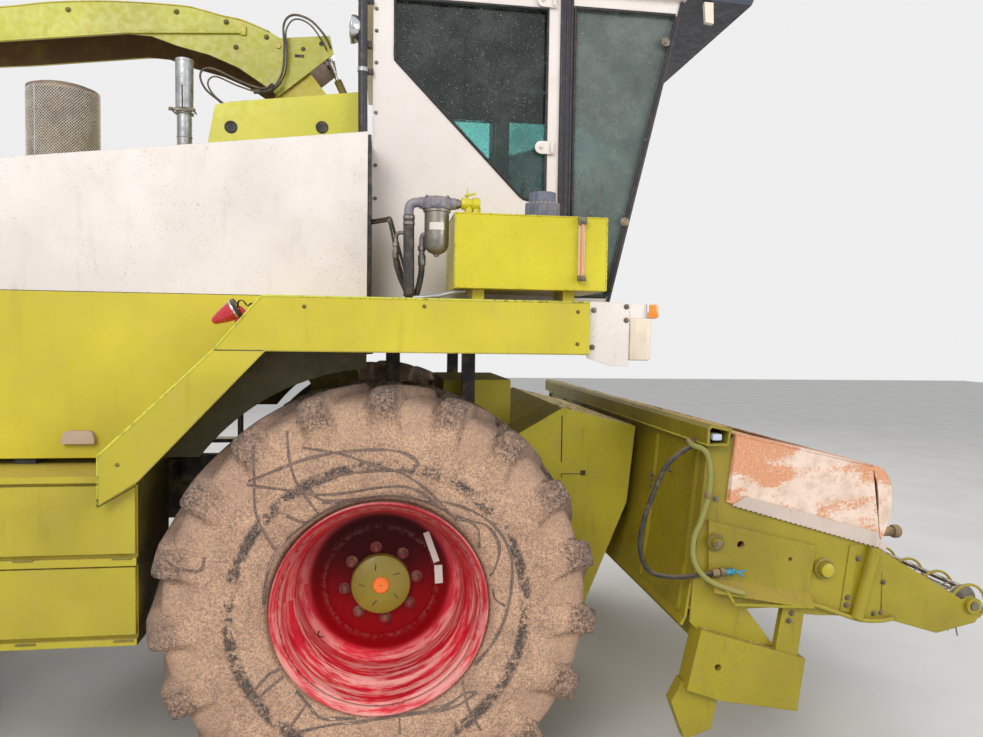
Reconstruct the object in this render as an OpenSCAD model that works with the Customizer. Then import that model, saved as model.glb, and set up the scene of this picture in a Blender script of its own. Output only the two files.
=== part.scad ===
// Self-propelled forage harvester with a pickup header, parked with the header raised.
// Millimetres. X runs forward, Y to the machine's left and Z up.
// Inside the modules X and Z are measured from the front axle; in_frame() moves them to the ground.

/* [Front wheels] */
// Radius of the front tyre at the tips of its lugs
front_tyre_r = 900; // [860:5:910]
// Width of the front tyre
front_tyre_w = 620; // [520:10:640]
// Distance from the centre plane to the middle of a front tyre
front_track = 1190; // [1180:5:1230]
// Radius of the front rim where the tyre's beads sit
front_seat_r = 406; // [380:2:420]
// Lugs on each side of a front tyre
lugs_per_side = 19; // [17:1:24]
// Height of a lug over the carcass
lug_h = 38; // [25:1:45]

/* [Rear wheels] */
// Radius of the rear tyre
rear_tyre_r = 560; // [520:5:580]
// Width of the rear tyre
rear_tyre_w = 330; // [280:5:350]
// Distance from the centre plane to the middle of a rear tyre
rear_track = 1080; // [1060:5:1120]
// Radius of the rear rim where the tyre's beads sit
rear_seat_r = 229; // [200:1:240]
// Distance between the axles
wheelbase = 2650; // [2600:10:2800]
// Distance of the kingpins inside the middle of the rear tyres
kingpin_in = 230; // [220:5:260]
// Length of the steering arms
steer_arm = 210; // [180:5:240]

/* [Frame] */
// Outer face of the frame rails from the centre plane
rail_y = 480; // [450:5:500]
// Width of a frame rail
rail_w = 80; // [60:5:100]
// Underside of the frame rails over the front axle
rail_z = 150; // [140:5:160]
// Height of a frame rail
rail_h = 180; // [150:5:190]
// Rear end of the frame behind the front axle
rear_end = 3450; // [3400:10:3600]
// Radius of the front axle tube
axle_tube_r = 125; // [100:5:135]
// Radius of the hitch pin's bore
hitch_pin_r = 16; // [12:1:20]

/* [Body] */
// Outer face of the side panels from the centre plane
body_y = 1180; // [1150:5:1180]
// Thickness of the body panels
panel_t = 25; // [10:1:30]
// Height of the seam between white and green panels over the front axle
seam_z = 1258; // [1200:2:1290]
// Bottom edge of the lower side panels over the front axle
panel_z = 575; // [570:1:600]
// Front edge of the side panels behind the front axle
panel_x = 70; // [60:1:90]
// Room between the front tyre and the wheel arch cut from the side panels
arch_gap = 55; // [35:5:80]
// Height of the side panels' top edge at their front end over the front axle
hood_z = 1965; // [1900:5:2000]
// Fall of the hood for each millimetre towards the rear
hood_fall = 0.124; // [0.08:0.001:0.14]
// Outer face of the fenders from the centre plane
fender_y = 1500; // [1460:5:1520]
// Height of the fender's top over the front axle
fender_z = 1245; // [1220:5:1250]
// Height of the fender's skirt
fender_h = 213; // [180:1:220]
// Thickness of the fender's sheet
fender_t = 12; // [6:1:16]
// Front end of the fenders
fender_x = 830; // [780:5:835]

/* [Toolbox] */
// Front face of the toolbox behind the front axle
box_x = 930; // [925:1:950]
// Length of the toolbox
box_l = 960; // [850:5:980]
// Outer face of the toolbox doors from the centre plane
box_y = 1450; // [1420:5:1480]
// Depth of the toolbox
box_d = 430; // [380:5:440]
// Thickness of the toolbox walls
box_t = 15; // [8:1:20]
// Height of each toolbox door
box_door_h = 270; // [240:2:280]

/* [Cab] */
// Outer face of the cab's sides from the centre plane
cab_y = 950; // [900:5:960]
// Rear face of the cab
cab_x0 = -55; // [-60:1:-40]
// Front face of the white side pillar
cab_x1 = 785; // [760:1:800]
// Underside of the cab floor over the front axle
cab_z0 = 1160; // [1150:1:1180]
// Top of the cab's walls over the front axle
cab_z1 = 2720; // [2680:5:2760]
// Thickness of the cab's walls and doors
cab_t = 40; // [25:1:50]
// Thickness of the glass
glass_t = 6; // [4:1:8]
// Thickness of the cab's roof
roof_t = 125; // [90:5:140]
// Reach of the roof's visor over the windscreen
visor = 330; // [200:10:380]

/* [Spout] */
// Distance of the turret's axis behind the front axle
turret_x = 400; // [390:1:410]
// Half width of the turret's duct
turret_w = 155; // [140:1:158]
// Outer half width of the spout arm
arm_w = 175; // [172:1:190]
// Rear end of the spout's flap behind the front axle
spout_end = 3720; // [3650:10:3800]
// Thickness of the spout's sheet
arm_t = 8; // [5:1:10]
// Radius of the pins at the spout's hinges
spout_pin_r = 16; // [10:1:20]

/* [Header] */
// Outer face of the header's side walls from the centre plane
header_y = 1500; // [1450:5:1520]
// Half length of the header's top beam
beam_y = 1550; // [1530:5:1560]
// Thickness of the header's sheet
sheet_t = 8; // [5:1:12]
// Radius of the auger's flights
auger_r = 185; // [170:5:200]
// Radius of the auger's tube
auger_tube_r = 90; // [80:5:105]
// Pitch of the auger's flights
flight_pitch = 430; // [380:10:480]
// Radius of the hoops that strip the pickup's tines
hoop_r = 85; // [80:1:95]
// Distance between two hoops
hoop_pitch = 197; // [190:1:198]
// Number of hoops
hoop_count = 16; // [14:1:16]
// Radius of the pickup's tine tips
tine_r = 185; // [170:1:190]
// Diameter of a tine
tine_d = 6; // [5:0.5:8]

/* [Lift cylinders] */
// Distance of the lift cylinders from the centre plane
lift_y = 600; // [580:5:640]
// Outer radius of a lift cylinder's barrel
lift_r = 45; // [38:1:50]
// Radius of a lift cylinder's rod
lift_rod_r = 25; // [20:1:30]
// Radius of the pins at the lift cylinders' ends
lift_pin_r = 18; // [14:1:20]

/* [Hidden] */
// Running gap of a pin in its bore, and the gap of a piece that rests on another
run_gap = 0.08;
seat_gap = 0.3;
// Radius inside the front tyre's beads, whose surface is made of flat facets
front_bead_r = (front_seat_r + seat_gap) / cos(180 / (4 * lugs_per_side));
hitch_l = 150;
// Middle of the header's auger and of the pickup's reel
auger_c = [1891, 122];
reel_c = [2620, -70];
// Tine bars of the reel: angle on the reel, and angle of their tines as the cam track holds them here
tine_bars = [[-20, -35], [70, 185], [160, 215], [250, 285]];
bar_ring = 55;
// The foremost tine tip and the spout's flap set the middle of the whole length
header_tip = reel_c[0] + bar_ring * cos(tine_bars[0][0]) + (tine_r - bar_ring) * cos(tine_bars[0][1]);
frame_shift = (spout_end - header_tip) / 2;
// Height of the rear axle over the front axle
rear_z = rear_tyre_r - front_tyre_r;
rear_x = -wheelbase;
kingpin_y = rear_track - kingpin_in;
// Heights of the frame that others sit on
rail_top = rail_z + rail_h;
bearer_z = 548;
bearer_top = 640;
bearer_x = [-1450, -3250];
post_t = 40;
deck_z = 1100;
// Axis that the feeder swings about, which is also the cutter drum's axis
pivot = [180, 480];
drum_r = 318;
drum_gap = 12;
pivot_pin_r = 40;
ear_gap = 6;
ear_t = 20;
// Pins of the lift cylinders on the axle and on the feeder, and their holes' play
lift_a = [150, -190];
lift_b = [1000, -330];
lift_play = 32;
lift_len = norm(lift_b - lift_a);
lift_tilt = atan2(lift_b[1] - lift_a[1], lift_b[0] - lift_a[0]);
// Hinge of the spout arm, its lever pin and the cylinder's pin on the turret
arm_pin = [-578, 2664];
lever_pin = [-331, 2685];
ram_pin = [-167, 2330];
ram_len = norm(lever_pin - ram_pin);
ram_tilt = atan2(lever_pin[1] - ram_pin[1], lever_pin[0] - ram_pin[0]);
ram_r = 22;
ram_rod_r = 11;
lever_bar_r = 12;
lever_play = 17;
turret_z = 2240;
flap_gap = 6;
// Hinge of the spout's flap
flap_pin = [-3380, 2545];
// Colours
green = "#cdc83c";
white = "#e8e0d6";
red = "#b41428";
dark = "#2a2a2c";
grey = "#8a8c90";
rubber = "#8f7f70";

// Moves a piece from the front axle's axes to the part's frame
module in_frame() translate([frame_shift, 0, front_tyre_r]) children();
// Extrudes an outline in X and Z from y0 to y1
module side(y0, y1) translate([0, y1, 0]) rotate([90, 0, 0]) linear_extrude(y1 - y0) children();
// Box from its lowest corner to its highest corner
module block(low, high) translate(low) cube(high - low);
// The same piece on the right and on the left
module both() { children(); mirror([0, 1, 0]) children(); }
// Round bar along Y from y0 to y1 at a point in X and Z
module bar(c, r, y0, y1) translate([c[0], y0, c[1]]) rotate([-90, 0, 0]) cylinder(r = r, h = y1 - y0, $fn = 48);
// Round bar between two points
module rod(p, q, r, fn = 24) {
    v = q - p;
    translate(p) rotate([0, acos(v[2] / norm(v)), atan2(v[1], v[0])]) cylinder(r = r, h = norm(v), $fn = fn);
}
// Lift-off hinge with an upright pin: its bracket and pin, the knuckle that hangs on it, and the room they take
hinge_r = 14;
hinge_pin_r = 8;
module hinge_pin() {
    cylinder(r = hinge_r, h = 16, $fn = 32);
    cylinder(r = hinge_pin_r, h = 60, $fn = 32);
}
module hinge_knuckle() translate([0, 0, 16 + seat_gap]) cylinder(r = hinge_r, h = 48, $fn = 32);
module hinge_bore() translate([0, 0, 16]) cylinder(r = hinge_pin_r + run_gap, h = 60, $fn = 32);
module hinge_room() translate([0, 0, -6]) cylinder(r = hinge_r + 6, h = 22 + seat_gap, $fn = 32);
module knuckle_room() translate([0, 0, 16]) cylinder(r = hinge_r + 6, h = 55, $fn = 32);
// Height of the hood's top at a place along the machine
function hood_at(x) = hood_z + hood_fall * (x + panel_x);
// Outline with its second copy shifted, for a sheet of thickness t below a line of points
function below(points, t) = concat(points, [for (i = [len(points) - 1:-1:0]) points[i] - [0, t]]);

// Tyres

// Half of the front tyre's surface, from the middle outwards. Columns: distance from the middle, angle that the
// lug has swept, radius between the lugs, radius on the lug, shares of the pitch at the lug's foot and at its top
function tyre_rows(w, r, h) = [
    [0, 12, r - h, r - h, 0.75, 0.25], [9, 11.5, r - h, r, 0.4, 0.24], [w * 0.27, 4, r - h - 3, r - 1, 0.46, 0.28],
    [w * 0.475, 0, r - h - 26, r - 7, 0.54, 0.36], [w * 0.5, 0, r - h - 95, r - h - 52, 0.48, 0.32],
    [w * 0.498, 0, r - h - 200, r - h - 200, 0.75, 0.25], [w * 0.42, 0, front_seat_r + 36, front_seat_r + 36, 0.75, 0.25]];
module front_tyre() {
    rows = concat(tyre_rows(front_tyre_w, front_tyre_r, lug_h),
        [[front_tyre_w * 0.36, 0, front_bead_r, front_bead_r, 0.75, 0.25]]);
    last = len(rows) - 1;
    pitch = 360 / lugs_per_side;
    columns = 4 * lugs_per_side;
    function share(row, k) = k == 0 ? -row[4] / 2 : k == 1 ? -row[5] / 2 : k == 2 ? row[5] / 2 : row[4] / 2;
    // Side 0 is the outer half and side 1 the inner half, half a pitch behind. A quarter pitch sets a lug on the ground
    function corner(row, c, s) = let(k = (c + 2 * s) % 4, a = pitch * (floor((c + 2 * s) / 4) + 1 / 4 - s / 2 + share(row, k)) + row[1],
        r = k == 0 || k == 3 ? row[2] : row[3]) [r * cos(a), r * sin(a), s == 0 ? row[0] : -row[0]];
    points = concat([for (j = [last:-1:0]) for (c = [0:columns - 1]) corner(rows[j], c, 0)],
        [for (j = [1:last]) for (c = [0:columns - 1]) corner(rows[j], c, 1)]);
    rings = 2 * last + 1;
    polyhedron(points, [for (j = [0:rings - 1]) for (c = [0:columns - 1]) let(n = (c + 1) % columns, m = (j + 1) % rings)
        [j * columns + c, j * columns + n, m * columns + n, m * columns + c]]);
}
module rear_tyre() {
    w = rear_tyre_w;
    r = rear_tyre_r;
    bead = rear_seat_r + seat_gap;
    rib = 14;
    half = [[bead, w * 0.34], [bead + 25, w * 0.40], [r - 190, w * 0.49], [r - 120, w * 0.5], [r - 50, w * 0.47],
        [r - 12, w * 0.40], [r, w * 0.34], [r, w * 0.2], [r - rib, w * 0.18], [r - rib, w * 0.13], [r, w * 0.11]];
    outline = concat(half, [for (i = [len(half) - 1:-1:0]) [half[i][0], -half[i][1]]]);
    rotate_extrude($fn = 96) polygon(outline);
}
// Turns a wheel's own axis, Z outwards, to the left or right side of the machine
module on_left(x, y, z) translate([x, y, z]) rotate([-90, 0, 0]) children();
module on_right(x, y, z) mirror([0, 1, 0]) on_left(x, y, z) children();

// Rims: a stepped barrel with its disc, wheel nuts and hub cap

function barrel_line(seat, w, drop) = [
    [seat + 28, w * 0.46], [seat + 28, w * 0.44], [seat, w * 0.42], [seat, w * 0.25], [seat - drop, w * 0.19],
    [seat - drop, -w * 0.12], [seat, -w * 0.2], [seat, -w * 0.42], [seat + 28, -w * 0.44], [seat + 28, -w * 0.46]];
module rim_barrel(seat, w, drop, t) {
    line = barrel_line(seat, w, drop);
    rotate_extrude($fn = 96) polygon(concat(line, [for (i = [len(line) - 1:-1:0]) [line[i][0] - t, line[i][1]]]));
}
rim_t = 12;
disc_out = -50;
spindle_r = 60;
hub_r = 130;
nut_ring = 160;
module front_rim() {
    drop = 40;
    rim_barrel(front_seat_r, front_tyre_w, drop, rim_t);
    difference() {
        union() {
            translate([0, 0, disc_out]) cylinder(r = front_seat_r - drop - rim_t / 2, h = 20, $fn = 96);
            translate([0, 0, disc_out + 18]) cylinder(r = hub_r, h = 44, $fn = 64);
            translate([0, 0, disc_out + 62]) cylinder(r = 38, h = 10, $fn = 48);
            for (a = [8:45:330]) rotate([0, 0, a]) translate([nut_ring, 0, disc_out + 18]) {
                cylinder(r = 26, h = 8, $fn = 24);
                cylinder(r = 17, h = 36, $fn = 6);
            }
        }
        translate([0, 0, disc_out - 1]) cylinder(r = spindle_r + run_gap, h = 43, $fn = 64);
    }
}
rear_disc_out = 20;
rear_spindle_r = 34;
module rear_rim() {
    drop = 26;
    rim_barrel(rear_seat_r, rear_tyre_w, drop, 9);
    difference() {
        union() {
            translate([0, 0, rear_disc_out]) cylinder(r = rear_seat_r - drop - 4, h = 14, $fn = 64);
            translate([0, 0, rear_disc_out - 90]) cylinder(r = 62, h = 92, $fn = 48);
            translate([0, 0, rear_disc_out + 14]) cylinder(r = 46, h = 46, $fn = 48);
            for (a = [0:60:300]) rotate([0, 0, a]) translate([100, 0, rear_disc_out + 14])
                cylinder(r = 14, h = 20, $fn = 6);
        }
        translate([0, 0, rear_disc_out - 91]) cylinder(r = rear_spindle_r + run_gap, h = 141, $fn = 48);
    }
}
module tyre_front_right() color(rubber) in_frame() on_right(0, front_track, 0) front_tyre();
module tyre_front_left() color(rubber) in_frame() on_left(0, front_track, 0) front_tyre();
module rim_front_right() color(red) in_frame() on_right(0, front_track, 0) front_rim();
module rim_front_left() color(red) in_frame() on_left(0, front_track, 0) front_rim();
module tyre_rear_right() color(rubber) in_frame() on_right(rear_x, rear_track, rear_z) rear_tyre();
module tyre_rear_left() color(rubber) in_frame() on_left(rear_x, rear_track, rear_z) rear_tyre();
module rim_rear_right() color(red) in_frame() on_right(rear_x, rear_track, rear_z) rear_rim();
module rim_rear_left() color(red) in_frame() on_left(rear_x, rear_track, rear_z) rear_rim();

// Frame and axles

module chassis_frame() color(dark) in_frame() {
    both() block([-rear_end, rail_y - rail_w, rail_z], [500, rail_y, rail_top]);
    for (x = [-rear_end + 60, -1300]) block([x - 60, -rail_y, rail_z + 20], [x + 60, rail_y, rail_top - 20]);
    for (x = bearer_x) {
        both() block([x - 40, rail_y - rail_w, rail_top], [x + 40, rail_y, bearer_z]);
        block([x - 40, panel_t - body_y, bearer_z], [x + 40, body_y - panel_t, bearer_top]);
        both() block([x - 40, body_y - panel_t - post_t, bearer_top], [x + 40, body_y - panel_t, hood_at(x) - 90]);
    }
    // Cab deck on its four posts
    block([cab_x0, -body_y, deck_z], [1050, body_y, cab_z0]);
    for (x = [20, 420]) both() block([x, rail_y - rail_w / 2, rail_top], [x + 70, rail_y, deck_z]);
    // Bracket that the rear axle hangs in
    for (x = [rear_x - 130, rear_x + 90]) side(-120, 120)
        polygon([[x, rail_z + 10], [x, rear_z - 60], [x + 40, rear_z - 60], [x + 40, rail_z + 10]]);
    block([rear_x - 130, -rail_y + rail_w, rail_z], [rear_x + 130, rail_y - rail_w, rail_z + 60]);
}
module front_axle() color(dark) in_frame() {
    hub_end = front_track + disc_out - 20;
    difference() {
        union() {
            bar([0, 0], axle_tube_r, -hub_end, hub_end);
            both() bar([0, 0], 185, 850, hub_end);
            both() bar([0, 0], spindle_r, hub_end, hub_end + 45);
            both() block([-110, rail_y - rail_w, 60], [110, rail_y, rail_z]);
            // Ears for the lift cylinders
            both() for (s = [-1, 1]) side(lift_y + s * 42 - 10, lift_y + s * 42 + 10)
                polygon([[-60, -60], [110, -60], [lift_a[0] + 45, lift_a[1] + 20], [lift_a[0] + 30, lift_a[1] - 45],
                    [lift_a[0] - 35, lift_a[1] - 40]]);
        }
        bar(lift_a, lift_pin_r + run_gap, -lift_y - 60, -lift_y + 60);
        bar(lift_a, lift_pin_r + run_gap, lift_y - 60, lift_y + 60);
    }
}
knuckle_h = 80;
module rear_axle() color(dark) in_frame() translate([rear_x, 0, rear_z]) difference() {
    union() {
        block([-70, -kingpin_y + 40, -60], [70, kingpin_y - 40, 60]);
        both() translate([0, kingpin_y, -knuckle_h]) cylinder(r = 56, h = 2 * knuckle_h, $fn = 48);
        block([-90, -110, -60], [90, 110, 130]);
    }
    both() translate([0, kingpin_y, -knuckle_h - 1]) cylinder(r = 30 + run_gap, h = 2 * knuckle_h + 2, $fn = 48);
}
module knuckle() translate([rear_x, kingpin_y, rear_z]) {
    plate = 28;
    z = knuckle_h + 1;
    back = 66;
    translate([0, 0, -z]) cylinder(r = 30, h = 2 * z, $fn = 48);
    for (s = [-1, 1]) translate([0, 0, s * (z + plate / 2) - plate / 2]) {
        cylinder(r = 50, h = plate, $fn = 48);
        translate([-50, 0, 0]) cube([100, back + 24, plate]);
    }
    translate([-50, back, -z - 1]) cube([100, 24, 2 * z + 2]);
    translate([0, back + 20, 0]) rotate([-90, 0, 0])
        cylinder(r = rear_spindle_r, h = rear_track - kingpin_y + rear_disc_out + 40 - back - 20, $fn = 48);
    // Steering arm towards the rear with its ball pin
    translate([0, 0, -z - plate]) {
        translate([-steer_arm, -24, 0]) cube([steer_arm, 48, plate]);
        translate([-steer_arm, 0, 0]) cylinder(r = 32, h = plate, $fn = 32);
        translate([-steer_arm, 0, -44]) cylinder(r = 14, h = 46, $fn = 32);
    }
}
module knuckle_left() color(dark) in_frame() knuckle();
module knuckle_right() color(dark) in_frame() mirror([0, 1, 0]) knuckle();
module tie_rod() color(grey) in_frame()
    translate([rear_x - steer_arm, 0, rear_z - knuckle_h - 29 - 24]) difference() {
        union() {
            both() translate([0, kingpin_y, -18]) cylinder(r = 30, h = 36, $fn = 32);
            translate([0, -kingpin_y, 0]) rotate([-90, 0, 0]) cylinder(r = 17, h = 2 * kingpin_y, $fn = 32);
        }
        both() translate([0, kingpin_y, -30]) cylinder(r = 14 + run_gap, h = 60, $fn = 32);
    }
module tow_hitch() color(dark) in_frame() difference() {
    x = -rear_end;
    union() {
        block([x - 30, -200, rail_z - 60], [x, 200, rail_top]);
        for (z = [rail_z - 20, rail_z + 90]) {
            block([x - hitch_l + 55, -55, z], [x - 30, 55, z + 30]);
            translate([x - hitch_l + 55, 0, z]) cylinder(r = 55, h = 30, $fn = 48);
        }
    }
    translate([x - hitch_l + 55, 0, rail_z - 30]) cylinder(r = hitch_pin_r, h = 200, $fn = 48);
}

// Cutter housing, duct and engine

module cutter_housing() color(green) in_frame() {
    w = rail_y - rail_w;
    duct = turret_w + 10;
    bar(pivot, drum_r, -w, w);
    bar(pivot, pivot_pin_r, -w - ear_gap - ear_t - 4, w + ear_gap + ear_t + 4);
    side(-w, w) polygon([[-150, 300], [180, 170], [180, 780], [-100, 800], [-380, 800], [-420, 300]]);
    side(-duct, duct) polygon([[-120, 780], [-190, 1200], [-turret_x + 200, 2100], [-turret_x - 200, 2100],
        [-600, 1200], [-380, 780]]);
    translate([-turret_x, 0, 2090]) cylinder(r = 215, h = turret_z - 2090 - seat_gap, $fn = 64);
}
module engine_block() color(grey) in_frame()
    block([-3050, -rail_y + rail_w, rail_z + 60], [-1560, rail_y - rail_w, 1100]);

// Body panels

module upper_side_panels() color(white) in_frame() both() side(body_y - panel_t, body_y)
    polygon([[-rear_end, seam_z + 2], [-panel_x, seam_z + 2], [-panel_x, hood_z], [-rear_end, hood_at(-rear_end)]]);
module lower_side_panels() color(green) in_frame() difference() {
    both() side(body_y - panel_t, body_y)
        polygon([[-rear_end, panel_z], [-panel_x, panel_z], [-panel_x, seam_z], [-rear_end, seam_z]]);
    bar([0, 0], front_tyre_r + arch_gap, -body_y - 10, body_y + 10);
}
hump = [[-790, 0], [-746, 2108], [-690, 2125], [-100, 2205]];
hump_y = 940;
screen_c = [-1530, -540];
screen_r = 154;
stack_c = [-1000, -440];
module hood_top() color(green) in_frame() difference() {
    y = body_y - panel_t;
    wall = 12;
    union() {
        side(-y, y) polygon(below([[-rear_end, hood_at(-rear_end)], [-panel_x, hood_z]], panel_t));
        side(-hump_y, hump_y) polygon([[-790, hood_at(-790) - 5], hump[1], hump[2], hump[3], [-100, hood_at(-100) - 5]]);
        translate([screen_c[0], screen_c[1], hood_at(screen_c[0]) - 20]) cylinder(r = screen_r + 15, h = 50, $fn = 64);
        translate([stack_c[0], stack_c[1], hood_at(stack_c[0]) - 20]) cylinder(r = 75, h = 50, $fn = 48);
    }
    side(wall - hump_y, hump_y - wall) polygon([[-775, hood_at(-775) - 60], hump[1] + [10, -wall], hump[2] + [2, -wall],
        hump[3] + [-wall, -wall], [-100 - wall, hood_at(-100) - 60]]);
    translate([-turret_x, 0, 2000]) cylinder(r = 225, h = 300, $fn = 64);
}
module air_screen() color(grey) in_frame() {
    z = hood_at(screen_c[0]) + 30;
    translate([screen_c[0], screen_c[1], z]) {
        cylinder(r = screen_r, h = 2245 - z, $fn = 64);
        cylinder(r = screen_r + 8, h = 30, $fn = 64);
        translate([0, 0, 2245 - z]) cylinder(r1 = screen_r, r2 = screen_r - 25, h = 12, $fn = 64);
    }
}
module exhaust_pipe() color(grey) in_frame() {
    z = hood_at(stack_c[0]) + 30;
    translate([stack_c[0], stack_c[1], z]) difference() {
        union() {
            cylinder(r = 62, h = 8, $fn = 48);
            cylinder(r = 36, h = 400, $fn = 48);
            translate([0, 0, 340]) cylinder(r = 43, h = 2465 - z - 340, $fn = 48);
        }
        translate([0, 0, 300]) cylinder(r = 31, h = 600, $fn = 48);
    }
}
door_z0 = 740;
door_z1 = 1390;
door_y = 800;
door_t = 30;
screen_bars = 15;
screen_x = -rear_end - 2 - door_t;
module at_screen_hinges() for (z = [door_z0 + 110, door_z1 - 170]) translate([screen_x, door_y, z]) children();
module rear_body() color(green) in_frame() {
    difference() {
        side(panel_t - body_y, body_y - panel_t) polygon([[-rear_end, panel_z], [-rear_end, hood_at(-rear_end) - panel_t],
            [-rear_end + panel_t, hood_at(-rear_end + panel_t) - panel_t], [-rear_end + panel_t, panel_z]]);
        block([-rear_end - 1, 30 - door_y, door_z0 + 30], [-rear_end + panel_t + 1, door_y - 30, door_z1 - 30]);
    }
    at_screen_hinges() {
        hinge_pin();
        block([0, 4, 0], [door_t + 2, hinge_r + 6, 16]);
    }
}
module rear_screen_door() color(green) in_frame() {
    x1 = screen_x + door_t;
    difference() {
        union() {
            difference() {
                block([screen_x, -door_y, door_z0], [x1, door_y, door_z1]);
                block([screen_x - 1, 40 - door_y, door_z0 + 40], [x1 + 1, door_y - 40, door_z1 - 40]);
            }
            step = (door_z1 - door_z0 - 80) / (screen_bars + 1);
            for (i = [1:screen_bars]) block([screen_x + 8, 40 - door_y, door_z0 + 36 + i * step],
                [x1 - 8, door_y - 40, door_z0 + 44 + i * step]);
            for (y = [-400, 0, 400]) block([screen_x + 4, y - 12, door_z0 + 40], [x1 - 4, y + 12, door_z1 - 40]);
            at_screen_hinges() hinge_knuckle();
        }
        at_screen_hinges() hinge_bore();
        at_screen_hinges() hinge_room();
    }
}

// Toolbox, battery box, fenders and ladder

box_z0 = -111;
box_z1 = 522;
door_lower_z = -76;
door_upper_z = 240;
box_in = 20;
box_hinge_y = -box_y - 5;
// Lower tip of the right fender's skirt, and the room around it in the toolbox's face
fender_tip = [[-1052, fender_z - fender_h - 590], [-910, fender_z - fender_h - 499]];
module tip_room(g) side(-box_y - 1, -box_y + box_in + 4)
    polygon([fender_tip[0] + [-g, 300], fender_tip[0] - [g, g], fender_tip[1] - [0, g], fender_tip[1] + [0, 300]]);
module at_box_hinges(z) for (x = [-box_x - 560, -box_x - box_l + 90]) translate([x, box_hinge_y, z]) children();
// Round bar along X about the middle of a hinge
module hinge_bar(r, l) translate([-l / 2, 0, 0]) rotate([0, 90, 0]) cylinder(r = r, h = l, $fn = 24);
module toolbox() color(green) in_frame() {
    x0 = -box_x - box_l;
    x1 = -box_x;
    y1 = -box_y + box_in + 2;
    y0 = -box_y + box_d + 10;
    difference() {
        block([x0, y1, box_z0], [x1, y0, box_z1]);
        for (z = [door_lower_z, door_upper_z])
            block([x0 + box_t, y1 - 1, z + 12], [x1 - box_t, y0 - box_t, z + box_door_h - 12]);
    }
    block([x0, -box_y, box_z1], [x1, y0, bearer_z]);
    block([x0, -box_y, box_z0], [x1, y1, door_lower_z - 9]);
    block([x0, -box_y, door_lower_z + box_door_h + 6], [x1, y1, door_upper_z - 9]);
    // Fixed corner of the face behind the fender's tip
    intersection() {
        tip_room(8);
        block([x0, -box_y, door_upper_z + 100], [x1, y1, box_z1 + 5]);
    }
    for (z = [door_lower_z, door_upper_z]) at_box_hinges(z) {
        hinge_bar(3.5, 100);
        for (x = [-50, 42]) translate([x, 0, 0]) {
            translate([4, 0, 0]) hinge_bar(7, 8);
            block([0, -4, -22], [8, 5, 0]);
        }
    }
}
module box_door(z) difference() {
    x0 = -box_x - box_l + 4;
    x1 = -box_x - 4;
    union() {
        block([x0, -box_y, z + 8], [x1, -box_y + box_in, z + box_door_h]);
        at_box_hinges(z) {
            hinge_bar(7, 80);
            block([-40, 0, 0], [40, 5, 40]);
        }
    }
    at_box_hinges(z) hinge_bar(3.5 + run_gap, 82);
}
module toolbox_door_upper() color(green) in_frame() difference() {
    box_door(door_upper_z);
    tip_room(12);
}
module toolbox_door_lower() color(green) in_frame() box_door(door_lower_z);
ladder_x = [-1480, -1060];
module battery_box() color(green) in_frame() {
    x0 = -box_x - box_l;
    x1 = ladder_x[0] + 5;
    block([x0, box_y - box_d, 0], [x1, box_y, bearer_z]);
    block([x0 - 8, box_y - box_d, bearer_z - 40], [x1, box_y + 8, bearer_z - 10]);
}
module fender_right() color(green) in_frame() {
    z = fender_z;
    zb = fender_z - fender_h;
    t = fender_t;
    outer = [[fender_x, zb], [fender_x, z], [-457, z], [-636, zb + 2], [-1052, zb - 401], fender_tip[0], fender_tip[1],
        [-445, zb]];
    side(-fender_y, t - fender_y) polygon(outer);
    side(t - fender_y, -body_y) polygon([[fender_x, z - t], [fender_x, z], [-457, z], [-636, zb + 2], [-1052, zb - 401],
        [-1052, zb - 401 - t * 1.4], [-630, zb + 2 - t * 1.4 + 5], [-450, z - t]]);
    side(-body_y - t, -body_y) polygon([[fender_x, zb + 60], [fender_x, z], [-457, z], [-445, zb + 60]]);
    block([fender_x - t, t - fender_y, zb], [fender_x, -body_y - t, z]);
}
module platform_left() color(green) in_frame() {
    t = fender_t;
    z = fender_z;
    block([ladder_x[0], body_y, z - t], [fender_x, fender_y, z]);
    block([ladder_x[0], fender_y - t, z - fender_h], [fender_x, fender_y, z - t]);
    block([fender_x - t, body_y, z - fender_h], [fender_x, fender_y - t, z - t]);
    block([ladder_x[0], body_y, z - fender_h], [ladder_x[0] + t, fender_y - t, z - t]);
    block([-panel_x, body_y, z - fender_h + 60], [fender_x - t, body_y + t, z - t]);
}
module ladder_left() color(dark) in_frame() {
    z0 = -420;
    for (x = [ladder_x[0] + 20, ladder_x[1] - 20]) {
        rod([x, fender_y + 30, z0], [x, fender_y + 30, fender_z + 820], 16);
        rod([x, fender_y + 30, fender_z - 40], [x, fender_y, fender_z - 40], 14);
    }
    for (z = [z0 + 20:330:fender_z - 300]) block([ladder_x[0] + 10, fender_y - 90, z], [ladder_x[1] - 10, fender_y + 42, z + 28]);
    for (x = [ladder_x[0] + 20, ladder_x[1] - 20]) rod([x, fender_y - 70, z0 + 30], [x, fender_y - 70, fender_z - 240], 10);
    for (z = [fender_z + 400, fender_z + 820]) rod([ladder_x[0] + 20, fender_y + 30, z], [ladder_x[0] + 20, body_y + 60, z], 16);
    rod([ladder_x[0] + 20, body_y + 60, fender_z], [ladder_x[0] + 20, body_y + 60, fender_z + 820], 16);
}

// Lamps, oil tank and filter

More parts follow.
